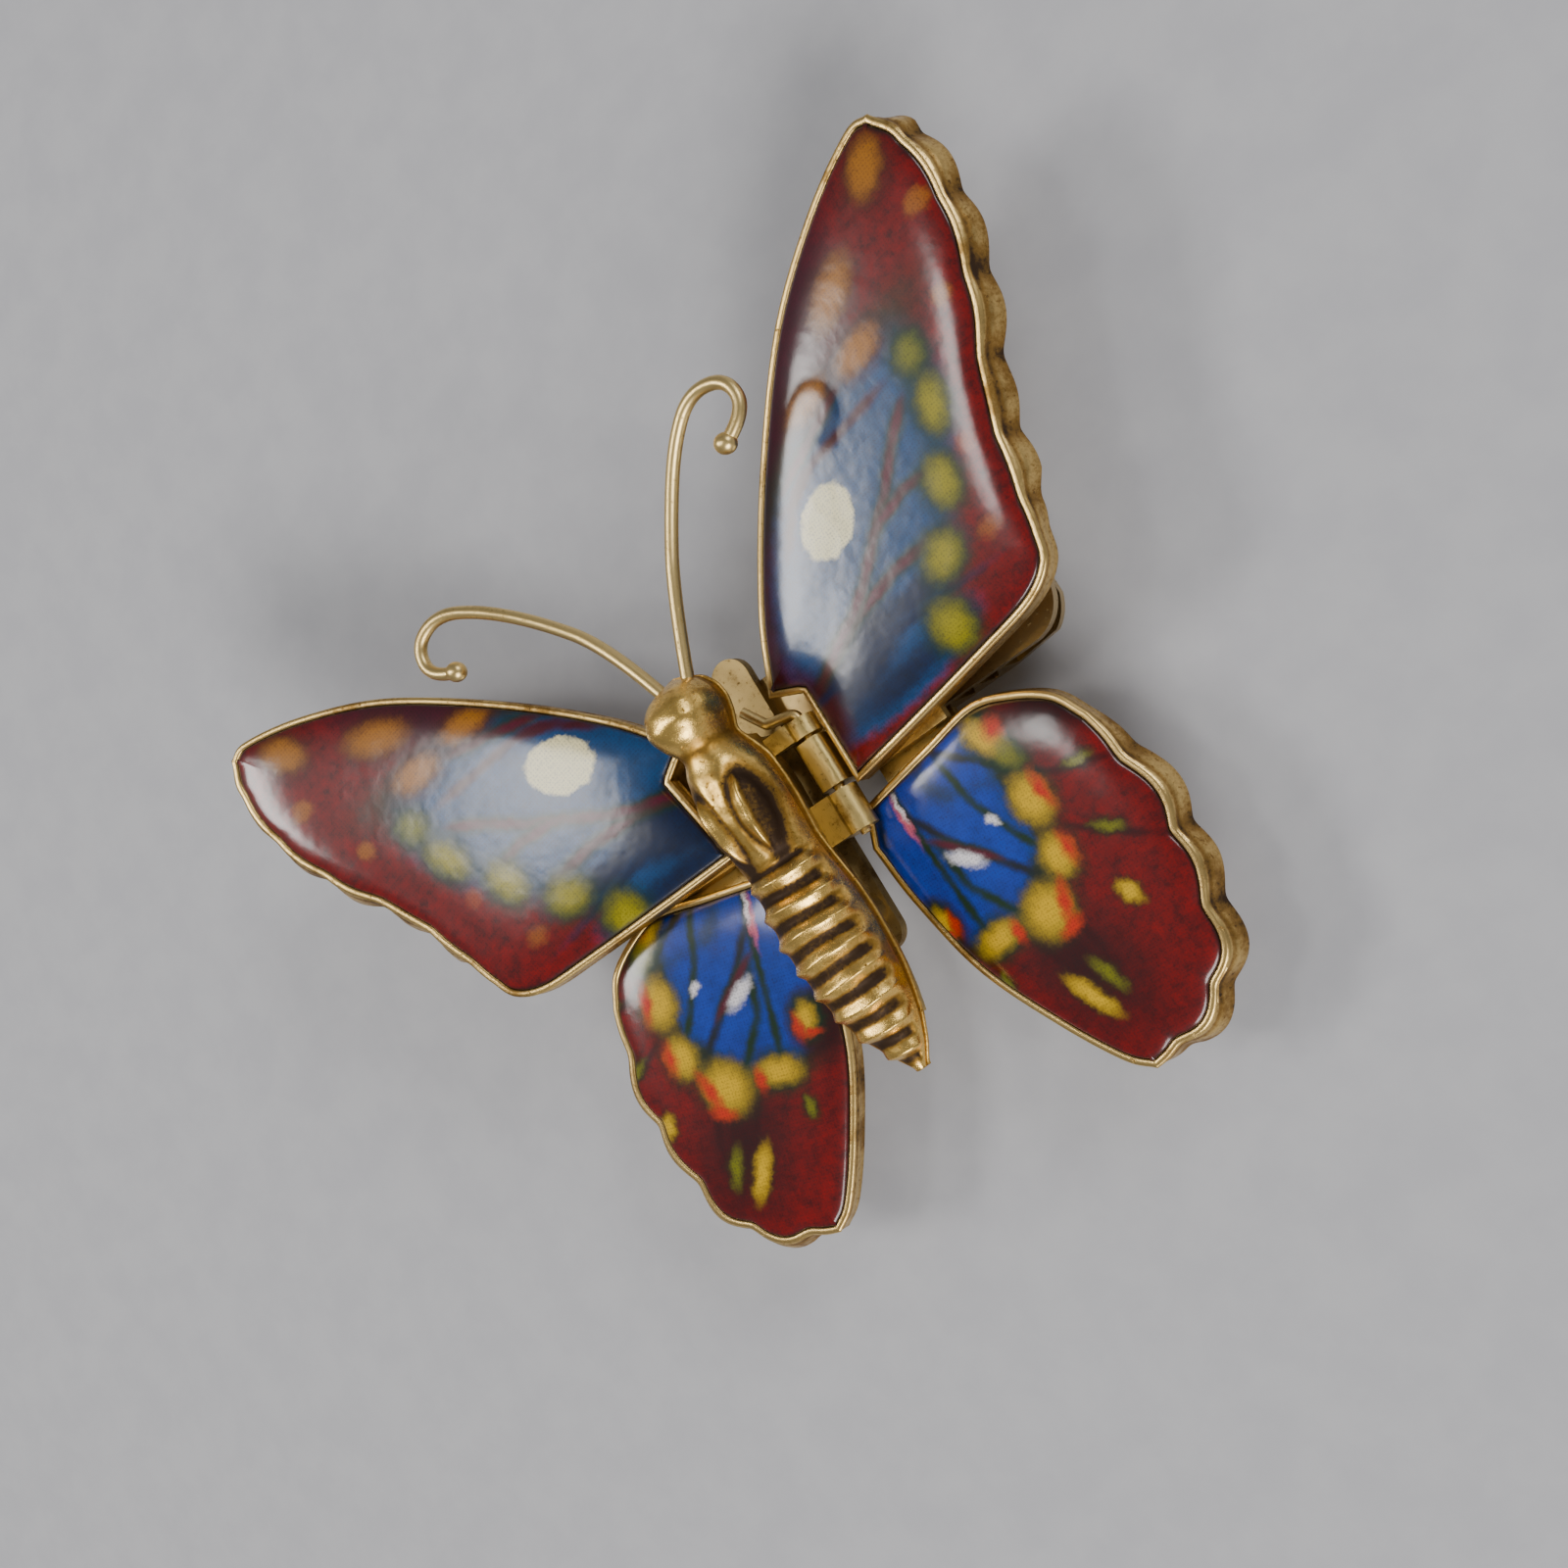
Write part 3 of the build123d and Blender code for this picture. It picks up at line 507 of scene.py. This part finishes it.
def skinned(rows, flip=False):
    """Points and faces of a closed skin over rows of equal length, capped with a fan at both ends."""
    count = len(rows[0])
    points = np.vstack(rows + [rows[0].mean(0)[None], rows[-1].mean(0)[None]])
    faces = []
    for r in range(len(rows) - 1):
        for i in range(count):
            j = (i + 1) % count
            faces.append((r * count + i, r * count + j, (r + 1) * count + j, (r + 1) * count + i))
    first, last = len(rows) * count, len(rows) * count + 1
    end = (len(rows) - 1) * count
    for i in range(count):
        j = (i + 1) % count
        faces.append((first, j, i))
        faces.append((last, end + i, end + j))
    if flip:
        faces = [tuple(reversed(face)) for face in faces]
    return points, faces


# ---- wings ------------------------------------------------------------------------
def smooth(points, steps):
    """Points along a Catmull-Rom curve through the driving points, last one left out."""
    first = (2 * points[0][0] - points[1][0], 2 * points[0][1] - points[1][1])
    last = (2 * points[-1][0] - points[-2][0], 2 * points[-1][1] - points[-2][1])
    padded = [first] + list(points) + [last]
    spans = len(points) - 1
    out = []
    for k in range(steps):
        at = spans * k / steps
        i = min(int(at), spans - 1)
        t = at - i
        a, b, c, d = (np.array(p) for p in padded[i:i + 4])
        bend, twist = 2 * a - 5 * b + 4 * c - d, 3 * b - a - 3 * c + d
        out.append(0.5 * (2 * b + (c - a) * t + bend * t * t + twist * t ** 3))
    return out


def straight(points, steps):
    """Evenly divided straight runs, last point left out."""
    out = []
    for a, b in zip(points, points[1:]):
        out += [np.array(a) + (np.array(b) - np.array(a)) * k / steps for k in range(steps)]
    return out


def outward(outline):
    """Unit outward normals of a closed anticlockwise or clockwise outline."""
    ahead = np.roll(outline, -1, 0) - np.roll(outline, 1, 0)
    x, y = outline[:, 0], outline[:, 1]
    area = np.sum(x * np.roll(y, -1) - np.roll(x, -1) * y)
    normal = np.stack([ahead[:, 1], -ahead[:, 0]], 1) * (1 if area > 0 else -1)
    return normal / np.linalg.norm(normal, axis=1)[:, None]


def wing_shape(kind):
    """Plan outline of the rim's driving curve, its normals, and the scallops along it."""
    if kind == "forewing":
        inner, outer, rest, base = FORE_INNER, FORE_OUTER, FORE_LEADING, FORE_BASE
        counts, lobes = (60, 420, 110), FORE_LOBES
    else:
        inner, outer, rest, base = HIND_INNER, HIND_OUTER, HIND_TOP, HIND_BASE
        counts, lobes = (80, 340, 90), HIND_LOBES
    outline = np.array(smooth(inner, counts[0]) + smooth(outer, counts[1]) + smooth(rest, counts[2])
                       + straight(base, 12))
    s = np.arange(counts[1]) / counts[1]
    wobble = lobes * s + 0.06 * np.sin(9.0 * s + 1.0)
    bumps = np.sqrt((np.cos(math.pi * wobble) ** 2 + CUSP_ROUNDING) / (1 + CUSP_ROUNDING))
    fade = np.minimum(1.0, np.minimum(8 * s, 8 * (1 - s)))
    bump_all, fade_all = np.full(len(outline), MEAN_BUMP), np.zeros(len(outline))
    bump_all[counts[0]:counts[0] + counts[1]] = bumps
    fade_all[counts[0]:counts[0] + counts[1]] = fade
    return outline, outward(outline), bump_all, fade_all


def in_wing(name, plan, height):
    """Plan points at a height over the rim's plane, as millimetres about the body's middle."""
    wing = WINGS[name]
    turn, rise = math.radians(wing["turn"]), math.radians(wing["raise"])
    offset = plan - (2.4, 1.9)
    x = 2.4 + offset[:, 0] * math.cos(turn) - offset[:, 1] * math.sin(turn) + wing["shift"][0] - HINGE_X
    y = 1.9 + offset[:, 0] * math.sin(turn) + offset[:, 1] * math.cos(turn) + wing["shift"][1]
    h = np.broadcast_to(height, x.shape)
    out = np.stack([HINGE_X + x * math.cos(rise) - h * math.sin(rise), y,
                    wing["z"] + x * math.sin(rise) + h * math.cos(rise)], 1)
    if name.endswith("left"):
        out[:, 0] *= -1
    return out


def about_middle(outline, scale):
    """The outline scaled about the middle of its box."""
    middle = (outline.max(0) + outline.min(0)) / 2
    return middle + scale * (outline - middle)


def rounded(outline, reach):
    """The closed outline with its corners and waves averaged out over a distance along it."""
    closed = np.vstack([outline, outline[:1]])
    along = np.concatenate([[0], np.cumsum(np.linalg.norm(np.diff(closed, axis=0), axis=1))])
    even = np.linspace(0, along[-1], 600, endpoint=False)
    spaced = np.stack([np.interp(even, along, closed[:, k]) for k in (0, 1)], 1)
    half = round(reach / along[-1] * 600)
    for _ in range(3):
        spaced = sum(np.roll(spaced, k, 0) for k in range(-half, half + 1)) / (2 * half + 1)
    return np.stack([np.interp(along[:-1], even, spaced[:, k], period=along[-1]) for k in (0, 1)], 1)


def wing_tray(name, material):
    """Pressed cup: floor, thin rolled rim, fluted outer wall that flares to a scalloped foot."""
    kind = name.split("_")[0]
    outline, normal, bumps, fade = wing_shape(kind)
    wave = FORE_WAVE if kind == "forewing" else HIND_WAVE
    rim_push = fade * wave["rim"] * (bumps - MEAN_BUMP)
    foot_push = fade * (wave["foot"] * (bumps - MEAN_BUMP) + FLARE)
    floor = TRAY_FLOOR - TRAY_HEIGHT
    rows, recess = [], []

    def add(push, height, darkening):
        rows.append(in_wing(name, outline + normal * np.asarray(push)[:, None], height))
        recess.append(np.broadcast_to(darkening, bumps.shape))

    for scale in (0.30, 0.65, 0.90):
        rows.append(in_wing(name, about_middle(outline, scale), floor))
        recess.append(np.full(bumps.shape, 0.8))
    add(rim_push - RIM, floor, 1.0)
    add(rim_push - RIM, -0.10, 1.0)
    for angle in range(0, 181, 30):
        across = -RIM / 2 - math.cos(math.radians(angle)) * RIM / 2
        add(rim_push + across, -0.03 + 0.05 * math.sin(math.radians(angle)), 0.25 if angle == 0 else 0.0)
    for k in range(1, 15):
        t = k / 14
        roll = LEAD_ROLL * (math.exp(-(t / 0.10) ** 2) + math.exp(-((t - 0.92) / 0.10) ** 2)
                            - 0.8 * math.exp(-((t - 0.24) / 0.09) ** 2))
        belly = fade * 0.10 * math.sin(math.pi * t) * (bumps - 0.3)
        pinch = fade * (1 - bumps) ** 2
        # patina in the pinches between scallops and in the groove under the rolled rim; the wall also gets
        # darker towards the foot
        darkening = 0.75 * pinch + 0.40 * math.exp(-((t - 0.24) / 0.10) ** 2) + 0.32 * t
        add(rim_push * (1 - t) + foot_push * t + roll + belly, -TRAY_HEIGHT * t, darkening)
    add(foot_push - 0.08, -TRAY_HEIGHT - 0.02, 0.3)
    for scale in (0.90, 0.60, 0.30):
        rows.append(in_wing(name, about_middle(outline, scale), -TRAY_HEIGHT))
        recess.append(np.full(bumps.shape, 0.35))
    points, faces = skinned(rows, flip=name.endswith("right"))
    darkening = np.concatenate(recess + [[0.8, 0.35]])
    return make_piece(name + "_tray", points, faces, material, recess=darkening)


def print_coordinates(name, plan):
    """Where a point of the wing falls on the printed sheet."""
    place = PRINT_PLACE[name]
    turn = math.radians(place["turn"])
    offset = (plan - place["shift"]) / place["scale"]
    return np.stack([offset[:, 0] * math.cos(turn) + offset[:, 1] * math.sin(turn),
                     -offset[:, 0] * math.sin(turn) + offset[:, 1] * math.cos(turn),
                     np.zeros(len(plan))], 1)


def wing_inlay(name, material):
    """Domed printed inlay: vertical edge inside the rim, then a low crown that flattens inwards."""
    kind = name.split("_")[0]
    outline, normal, bumps, fade = wing_shape(kind)
    wave = FORE_WAVE if kind == "forewing" else HIND_WAVE
    edge = outline + normal * (fade * wave["rim"] * (bumps - MEAN_BUMP) - RIM - INLAY_GAP)[:, None]
    rows, plans, recess = [], [], []
    inwards = (0.997, 0.99, 0.98, 0.965, 0.945, 0.92, 0.89, 0.85,
               0.80, 0.74, 0.66, 0.56, 0.45, 0.33, 0.2, 0.08)
    levels = [(1.0, -0.35), (1.0, -0.08)] + [(s, DOME * math.sqrt(1 - s ** 6) - 0.05) for s in inwards]
    rounder = rounded(edge, CORNER_REACH)
    for scale, height in levels:
        keep = float(smoothstep(0.90, 1.0, scale))
        plan = about_middle(keep * edge + (1 - keep) * rounder, scale)
        rows.append(in_wing(name, plan, height))
        plans.append(print_coordinates(name, plan))
        recess.append(np.full(len(plan), 0.95 if scale > 0.995 else 0.5 if scale > 0.985 else 0.0))
    points, faces = skinned(rows, flip=name.endswith("right"))
    plans = np.vstack(plans + [plans[0].mean(0)[None], plans[-1].mean(0)[None]])
    dark = np.concatenate(recess + [[0.0, 0.0]])
    return make_piece(name + "_inlay", points, faces, material, plan=plans, recess=dark)


# ---- body -------------------------------------------------------------------------
def smoothstep(low, high, value):
    """0 below low, 1 above high, smooth between; low may be the larger."""
    t = np.clip((value - low) / (high - low), 0, 1)
    return t * t * (3 - 2 * t)


def softened(values, times):
    """Repeated three-point averaging of a row of numbers."""
    for _ in range(times):
        values = np.convolve(np.pad(values, 1, "edge"), (0.25, 0.5, 0.25), "valid")
    return values


def body_relief(x, y, up):
    """Height of the stamped relief, and how dark each place is: patina in the recesses, and a painted dark
    reflection on the outer half of each thorax lobe.
    """
    side = np.abs(x)
    # two long lobes on the thorax, each with an almond-shaped groove round a crest
    lobe = np.sqrt(((side - 0.78) / 0.80) ** 2 + ((y - 2.75) / 2.0) ** 2)
    lobes = 0.13 * smoothstep(1.0, 0.15, lobe)
    almond = np.sqrt(((side - 0.86 - 0.06 * (y - 2.9)) / 0.62) ** 2 + ((y - 2.80) / 1.72) ** 2)
    ring = np.exp(-((almond - 0.92) / 0.20) ** 2) * smoothstep(0.10, 0.35, up)
    crest = np.exp(-((side - 0.70 - 0.10 * (y - 3.0)) / 0.12) ** 2) * smoothstep(1.0, 0.5, almond)
    # outer half inside each almond: a slight dip, and painted dark as a painted dark reflection
    hollow_and_dark_reflection = smoothstep(1.0, 0.75, almond) * smoothstep(0.02, 0.18, side - 0.70 - 0.10 * (y - 3.0))
    # ridges across the abdomen
    turn = (y - FIRST_CREST) / RIDGE_PITCH
    last = -(RIDGES - 0.5)
    band = smoothstep(0.55, 0.35, turn) * smoothstep(last - 0.25, last + 0.1, turn)
    wave = 1 - np.abs(np.sin(math.pi * (turn + 0.05 * np.sin(1.7 * x + y)))) ** 1.4
    reach = smoothstep(0.26, 0.66, up)
    ridges = band * reach * (wave - 0.50) * 0.27
    grooves = band * reach * smoothstep(0.50, 0.05, wave)
    # the neck and the hollow behind the thorax
    neck = np.exp(-((y - 5.55) / 0.28) ** 2)
    waist = np.exp(-((y - 1.05) / 0.22) ** 2) * smoothstep(0.3, 0.8, up)
    middle = np.exp(-(x / 0.20) ** 2) * smoothstep(5.0, 4.4, y) * smoothstep(1.0, 1.6, y)
    dents = 0.016 * np.sin(3.1 * x + 1.3 * y) * np.sin(2.3 * y - 1.1 * x) + 0.008 * np.sin(7.3 * y + 4.1 * x)
    height = lobes - 0.10 * ring - 0.04 * hollow_and_dark_reflection + 0.12 * crest + ridges - 0.05 * waist
    height = height - 0.03 * middle + dents
    # patina in the ring, ridge grooves, neck, waist and midline, plus the lobes' painted dark reflection
    darkening = 0.80 * ring + 0.85 * hollow_and_dark_reflection + 0.95 * grooves + 0.60 * neck + 0.35 * waist + 0.15 * middle
    return height, np.clip(darkening, 0, 1)


def body_mesh(material):
    """Stamped body: rounded head, neck, thorax with two lobes, ridged abdomen, thin flange all round."""
    ys = np.linspace(BODY_PROFILE[0][0], BODY_PROFILE[-1][0], BODY_ALONG)
    known = np.array(BODY_PROFILE)[::-1]
    half = softened(np.interp(ys, known[:, 0], known[:, 1]), 60)
    tall = softened(np.interp(ys, known[:, 0], known[:, 2]), 60)
    ends = np.sqrt(np.clip(1 - np.clip((ys - 7.75) / 0.60, 0, 1) ** 2, 0.0, 1))
    half, tall = half * np.maximum(ends, 0.12), tall * np.maximum(ends, 0.12)
    angle = np.linspace(0, math.pi, BODY_ACROSS)
    boxy = 0.86 - 0.14 * smoothstep(5.6, 6.6, ys)
    grid = np.zeros((BODY_ALONG, BODY_ACROSS, 3))
    grid[:, :, 1] = ys[:, None]
    c, s = np.cos(angle)[None, :], np.sin(angle)[None, :]
    inner = np.maximum(half - FLANGE, 0.02)[:, None]
    grid[:, :, 0] = inner * np.sign(c) * np.abs(c) ** boxy[:, None]
    grid[:, :, 2] = FLANGE_TOP + np.maximum(tall - FLANGE_TOP, 0.02)[:, None] * s ** boxy[:, None]
    normal = np.cross(np.gradient(grid, axis=0), np.gradient(grid, axis=1))
    normal /= np.maximum(np.linalg.norm(normal, axis=2), 1e-9)[:, :, None]
    outwards = np.sign(np.sum(normal * grid * (1, 0, 1), axis=2))
    normal *= np.where(outwards == 0, 1, outwards)[:, :, None]
    height, darkening = body_relief(grid[:, :, 0], grid[:, :, 1], np.broadcast_to(s, grid.shape[:2]))
    calm = smoothstep(-7.65, -6.9, ys) * smoothstep(8.35, 7.9, ys)
    grid += normal * (height * calm[:, None] * smoothstep(0.0, 0.25, s))[:, :, None]
    rows, recess = [], []
    for i in range(BODY_ALONG):
        w = half[i]
        edge = [(w - 0.02, ys[i], 0.0), (w, ys[i], 0.03), (w, ys[i], 0.10), (w - 0.03, ys[i], FLANGE_TOP)]
        other = [(-x, y, z) for x, y, z in reversed(edge)]
        under = [(w * t, ys[i], 0.0) for t in (-0.6, -0.2, 0.2, 0.6)]
        rows.append(np.vstack([edge, grid[i], other, under]))
        # patina and the lobes' painted dark reflection go into the recess attribute
        low = np.maximum(darkening[i], 0.5 * (s[0] < 0.10))
        recess.append(np.concatenate([[0.2] * 4, low, [0.2] * 4, [0.4] * 4]))
    points, faces = skinned(rows)
    tilt = math.radians(BODY_TILT)
    y, z = points[:, 1].copy(), points[:, 2].copy()
    points[:, 1] = y * math.cos(tilt) - z * math.sin(tilt)
    points[:, 2] = y * math.sin(tilt) + z * math.cos(tilt)
    darkening = np.concatenate(recess + [[0.3, 0.3]])
    return make_piece("body_relief", points, faces, material, 60, recess=darkening)


# ---- wires ------------------------------------------------------------------------
def wire(name, route, radius, material, order=4):
    """Round wire along a smooth line near the route's points."""
    curve = bpy.data.curves.new(name, "CURVE")
    curve.dimensions = "3D"
    curve.bevel_depth = radius * MM
    curve.bevel_resolution = 6
    curve.resolution_u = 12
    curve.use_fill_caps = True
    spline = curve.splines.new("NURBS")
    spline.points.add(len(route) - 1)
    for point, place in zip(spline.points, placed(route)):
        point.co = (*place, 1.0)
    spline.order_u = order
    spline.use_endpoint_u = True
    curve.materials.append(material)
    piece = bpy.data.objects.new(name, curve)
    bpy.context.scene.collection.objects.link(piece)
    return piece


def ball(name, centre, radius, material):
    """Small melted ball at the end of a wire: not quite round, with a slight point."""
    rows = []
    for k in range(1, 24):
        lat = math.pi * k / 24
        ring = []
        for i in range(32):
            lon = 2 * math.pi * i / 32
            r = radius * (1 + 0.05 * math.cos(2 * lon + 1) * math.sin(lat) + 0.07 * math.cos(lat))
            x, y = r * math.sin(lat) * math.cos(lon), r * math.sin(lat) * math.sin(lon)
            ring.append((centre[0] + x, centre[1] + y, centre[2] + 0.92 * r * math.cos(lat)))
        rows.append(np.array(ring))
    points, faces = skinned(rows, flip=True)
    return make_piece(name, points, faces, material, recess=np.full(len(points), 0.05))


def mirrored(route, side):
    """The route on its own side of the body."""
    return [(-x, y, z) if side == "left" else (x, y, z) for x, y, z in route]


def turns(low, high, count, start):
    """Points round the clip's pivot from one distance along it to another."""
    steps = int(round(count * 12))
    out = []
    for k in range(steps + 1):
        angle = start + 2 * math.pi * k / 12
        y = low + (high - low) * k / steps
        x, z = PIVOT[0] + COIL_MID * math.cos(angle), PIVOT[1] + COIL_MID * math.sin(angle)
        out.append((x, CLIP_AHEAD + y, z))
    return out


def spring_coil(material):
    """Six close turns, and the leg that runs back under the upper finger tab."""
    y = CLIP_AHEAD + COIL_START
    leg = [(-9.5, y, -3.36), (-8.0, y, -3.79), (-6.2, y, -4.30), (-5.3, y, -4.34)]
    route = leg + turns(COIL_START, COIL_END, COIL_TURNS, math.pi / 2)
    return wire("spring_coil_wire", route, SPRING_WIRE_R, material)


def spring_leg(material):
    """Last turn, and the leg that lies on the lower tab."""
    y = CLIP_AHEAD + LEG_ALONG
    leg = [(-5.3, y, -5.68), (-7.4, y, -5.74), (-9.5, y, -5.79)]
    route = turns(LEG_ALONG, LEG_ALONG, 1, -math.pi / 2) + leg
    return wire("spring_leg_wire", route, SPRING_WIRE_R, material)


# ---- put together -----------------------------------------------------------------
def ride_and_replace(piece, body, slot, *nodes):
    """The piece moves with a body and stands for CAD nodes, which are hidden."""
    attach(piece, body)
    if nodes:
        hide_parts(*nodes)


def finish_cad_node(name, material, edge_mm):
    """A CAD node that stays gets its material and slightly worn edges."""
    node = NODES[name]
    if not node.data.materials:
        node.data.materials.append(material)
    for holder in node.material_slots:
        holder.material = material
    if edge_mm:
        worn = node.modifiers.new("worn_edges", "BEVEL")
        worn.width = edge_mm * MM
        worn.segments = 2
        worn.limit_method = "ANGLE"
        worn.angle_limit = math.radians(35)


def build_object():
    """Every visible piece on its body."""
    materials = all_materials()
    for name in WINGS:
        kind, side = name.split("_")
        body = "wing_" + side
        tray = wing_tray(name, materials["tray_brass"])
        ride_and_replace(tray, body, "antique_brass", kind + "_tray_" + side)
        inlay = wing_inlay(name, materials[kind + "_print"])
        ride_and_replace(inlay, body, kind + "_print", kind + "_inlay_" + side)
        finish_cad_node(kind + "_backing_" + side, materials["backing_card"], 0)
    ride_and_replace(body_mesh(materials["body_brass"]), "body", "antique_brass", "body_shell")
    for side in ("left", "right"):
        route = mirrored(ANTENNA_ROUTE, side)
        stem = wire("antenna_wire_" + side, route, ANTENNA_R, materials["wire_brass"], 3)
        ride_and_replace(stem, "body", "antique_brass", "antenna_" + side)
        tip = ball("antenna_ball_" + side, route[-1], ANTENNA_BALL_R, materials["wire_brass"])
        ride_and_replace(tip, "body", "antique_brass")
        finish_cad_node("hinge_pin_" + side, materials["wire_brass"], 0)
        finish_cad_node("wing_leaf_" + side, materials["hinge_brass"], 0.04)
    ride_and_replace(spring_coil(materials["spring_steel"]), "body", "spring_steel", "clip_spring_coil")
    ride_and_replace(spring_leg(materials["spring_steel"]), "clip_jaw", "spring_steel", "clip_spring_leg")
    finish_cad_node("base_plate", materials["hinge_brass"], 0.04)
    for name in ("front_post", "rear_post", "mounting_strap"):
        finish_cad_node(name, materials["shaded_strap_brass"], 0.06)
    for name in ("clip_upper_jaw", "clip_lower_jaw", "clip_pivot_pin"):
        finish_cad_node(name, materials["clip_brass"], 0.05)


def make_floor():
    """Plain pale surface under the part."""
    material, tree, shader = new_material("pale_floor")
    grain, _ = noise(tree, in_millimetres(tree), 0.4, 3.0)
    tone = mix(tree, spread(tree, grain, 0.3, 0.7), srgb(184, 184, 188), srgb(190, 190, 193))
    tree.links.new(tone, shader.inputs["Base Color"])
    shader.inputs["Roughness"].default_value = 0.9
    mesh = bpy.data.meshes.new("floor")
    half = FLOOR_HALF
    corners = [(-half, -half, 0), (half, -half, 0), (half, half, 0), (-half, half, 0)]
    mesh.from_pydata(corners, [], [(0, 1, 2, 3)])
    mesh.materials.append(material)
    floor = bpy.data.objects.new("floor", mesh)
    bpy.context.scene.collection.objects.link(floor)


def area_light(name, direction, distance, size, power, colour=(1, 1, 1)):
    """Rectangular lamp in a direction from the part, facing it."""
    lamp = bpy.data.lights.new(name, "AREA")
    lamp.shape = "RECTANGLE"
    lamp.size, lamp.size_y = size
    lamp.energy = power
    lamp.color = colour
    holder = bpy.data.objects.new(name, lamp)
    away = Vector(direction).normalized()
    holder.location = away * distance + Vector((0, 0, 0.005))
    holder.rotation_mode = "QUATERNION"
    holder.rotation_quaternion = away.to_track_quat("Z", "Y")
    bpy.context.scene.collection.objects.link(holder)


def make_light():
    """A window-like soft lamp ahead and to the left, a weak fill, and a dim even room."""
    area_light("window", (-0.60, 0.33, 0.73), 0.34, (0.10, 0.06), 0.36, (1.0, 0.98, 0.95))
    area_light("window_edge", (-0.24, 0.24, 0.94), 0.34, (0.06, 0.05), 0.13, (1.0, 0.98, 0.95))
    area_light("side", (0.10, -0.80, 0.60), 0.40, (0.22, 0.14), 1.25, (1.0, 0.98, 0.96))
    area_light("fill", (0.80, 0.35, 0.50), 0.45, (0.20, 0.12), 0.55, (0.96, 0.97, 1.0))
    world = bpy.data.worlds.new("room")
    world.use_nodes = True
    world.node_tree.nodes["Background"].inputs[0].default_value = (0.86, 0.87, 0.90, 1)
    world.node_tree.nodes["Background"].inputs[1].default_value = 0.24
    bpy.context.scene.world = world


def make_camera():
    """Camera above and to the right of the tail, looking down on the body."""
    camera = bpy.data.objects.new("camera", bpy.data.cameras.new("camera"))
    camera.data.lens = 39.34
    camera.data.sensor_width = 36
    camera.data.clip_start = 0.001
    right, up, back = (0.7303, -0.5087, -0.4559), (0.5188, 0.8472, -0.1144), (0.4444, -0.1530, 0.8827)
    turn = Matrix((right, up, back)).transposed().to_4x4()
    camera.matrix_world = Matrix.Translation(Vector((27.65, -11.05, 58.81)) * MM) @ turn
    bpy.context.scene.collection.objects.link(camera)
    bpy.context.scene.camera = camera


build_object()
make_floor()
make_light()
make_camera()
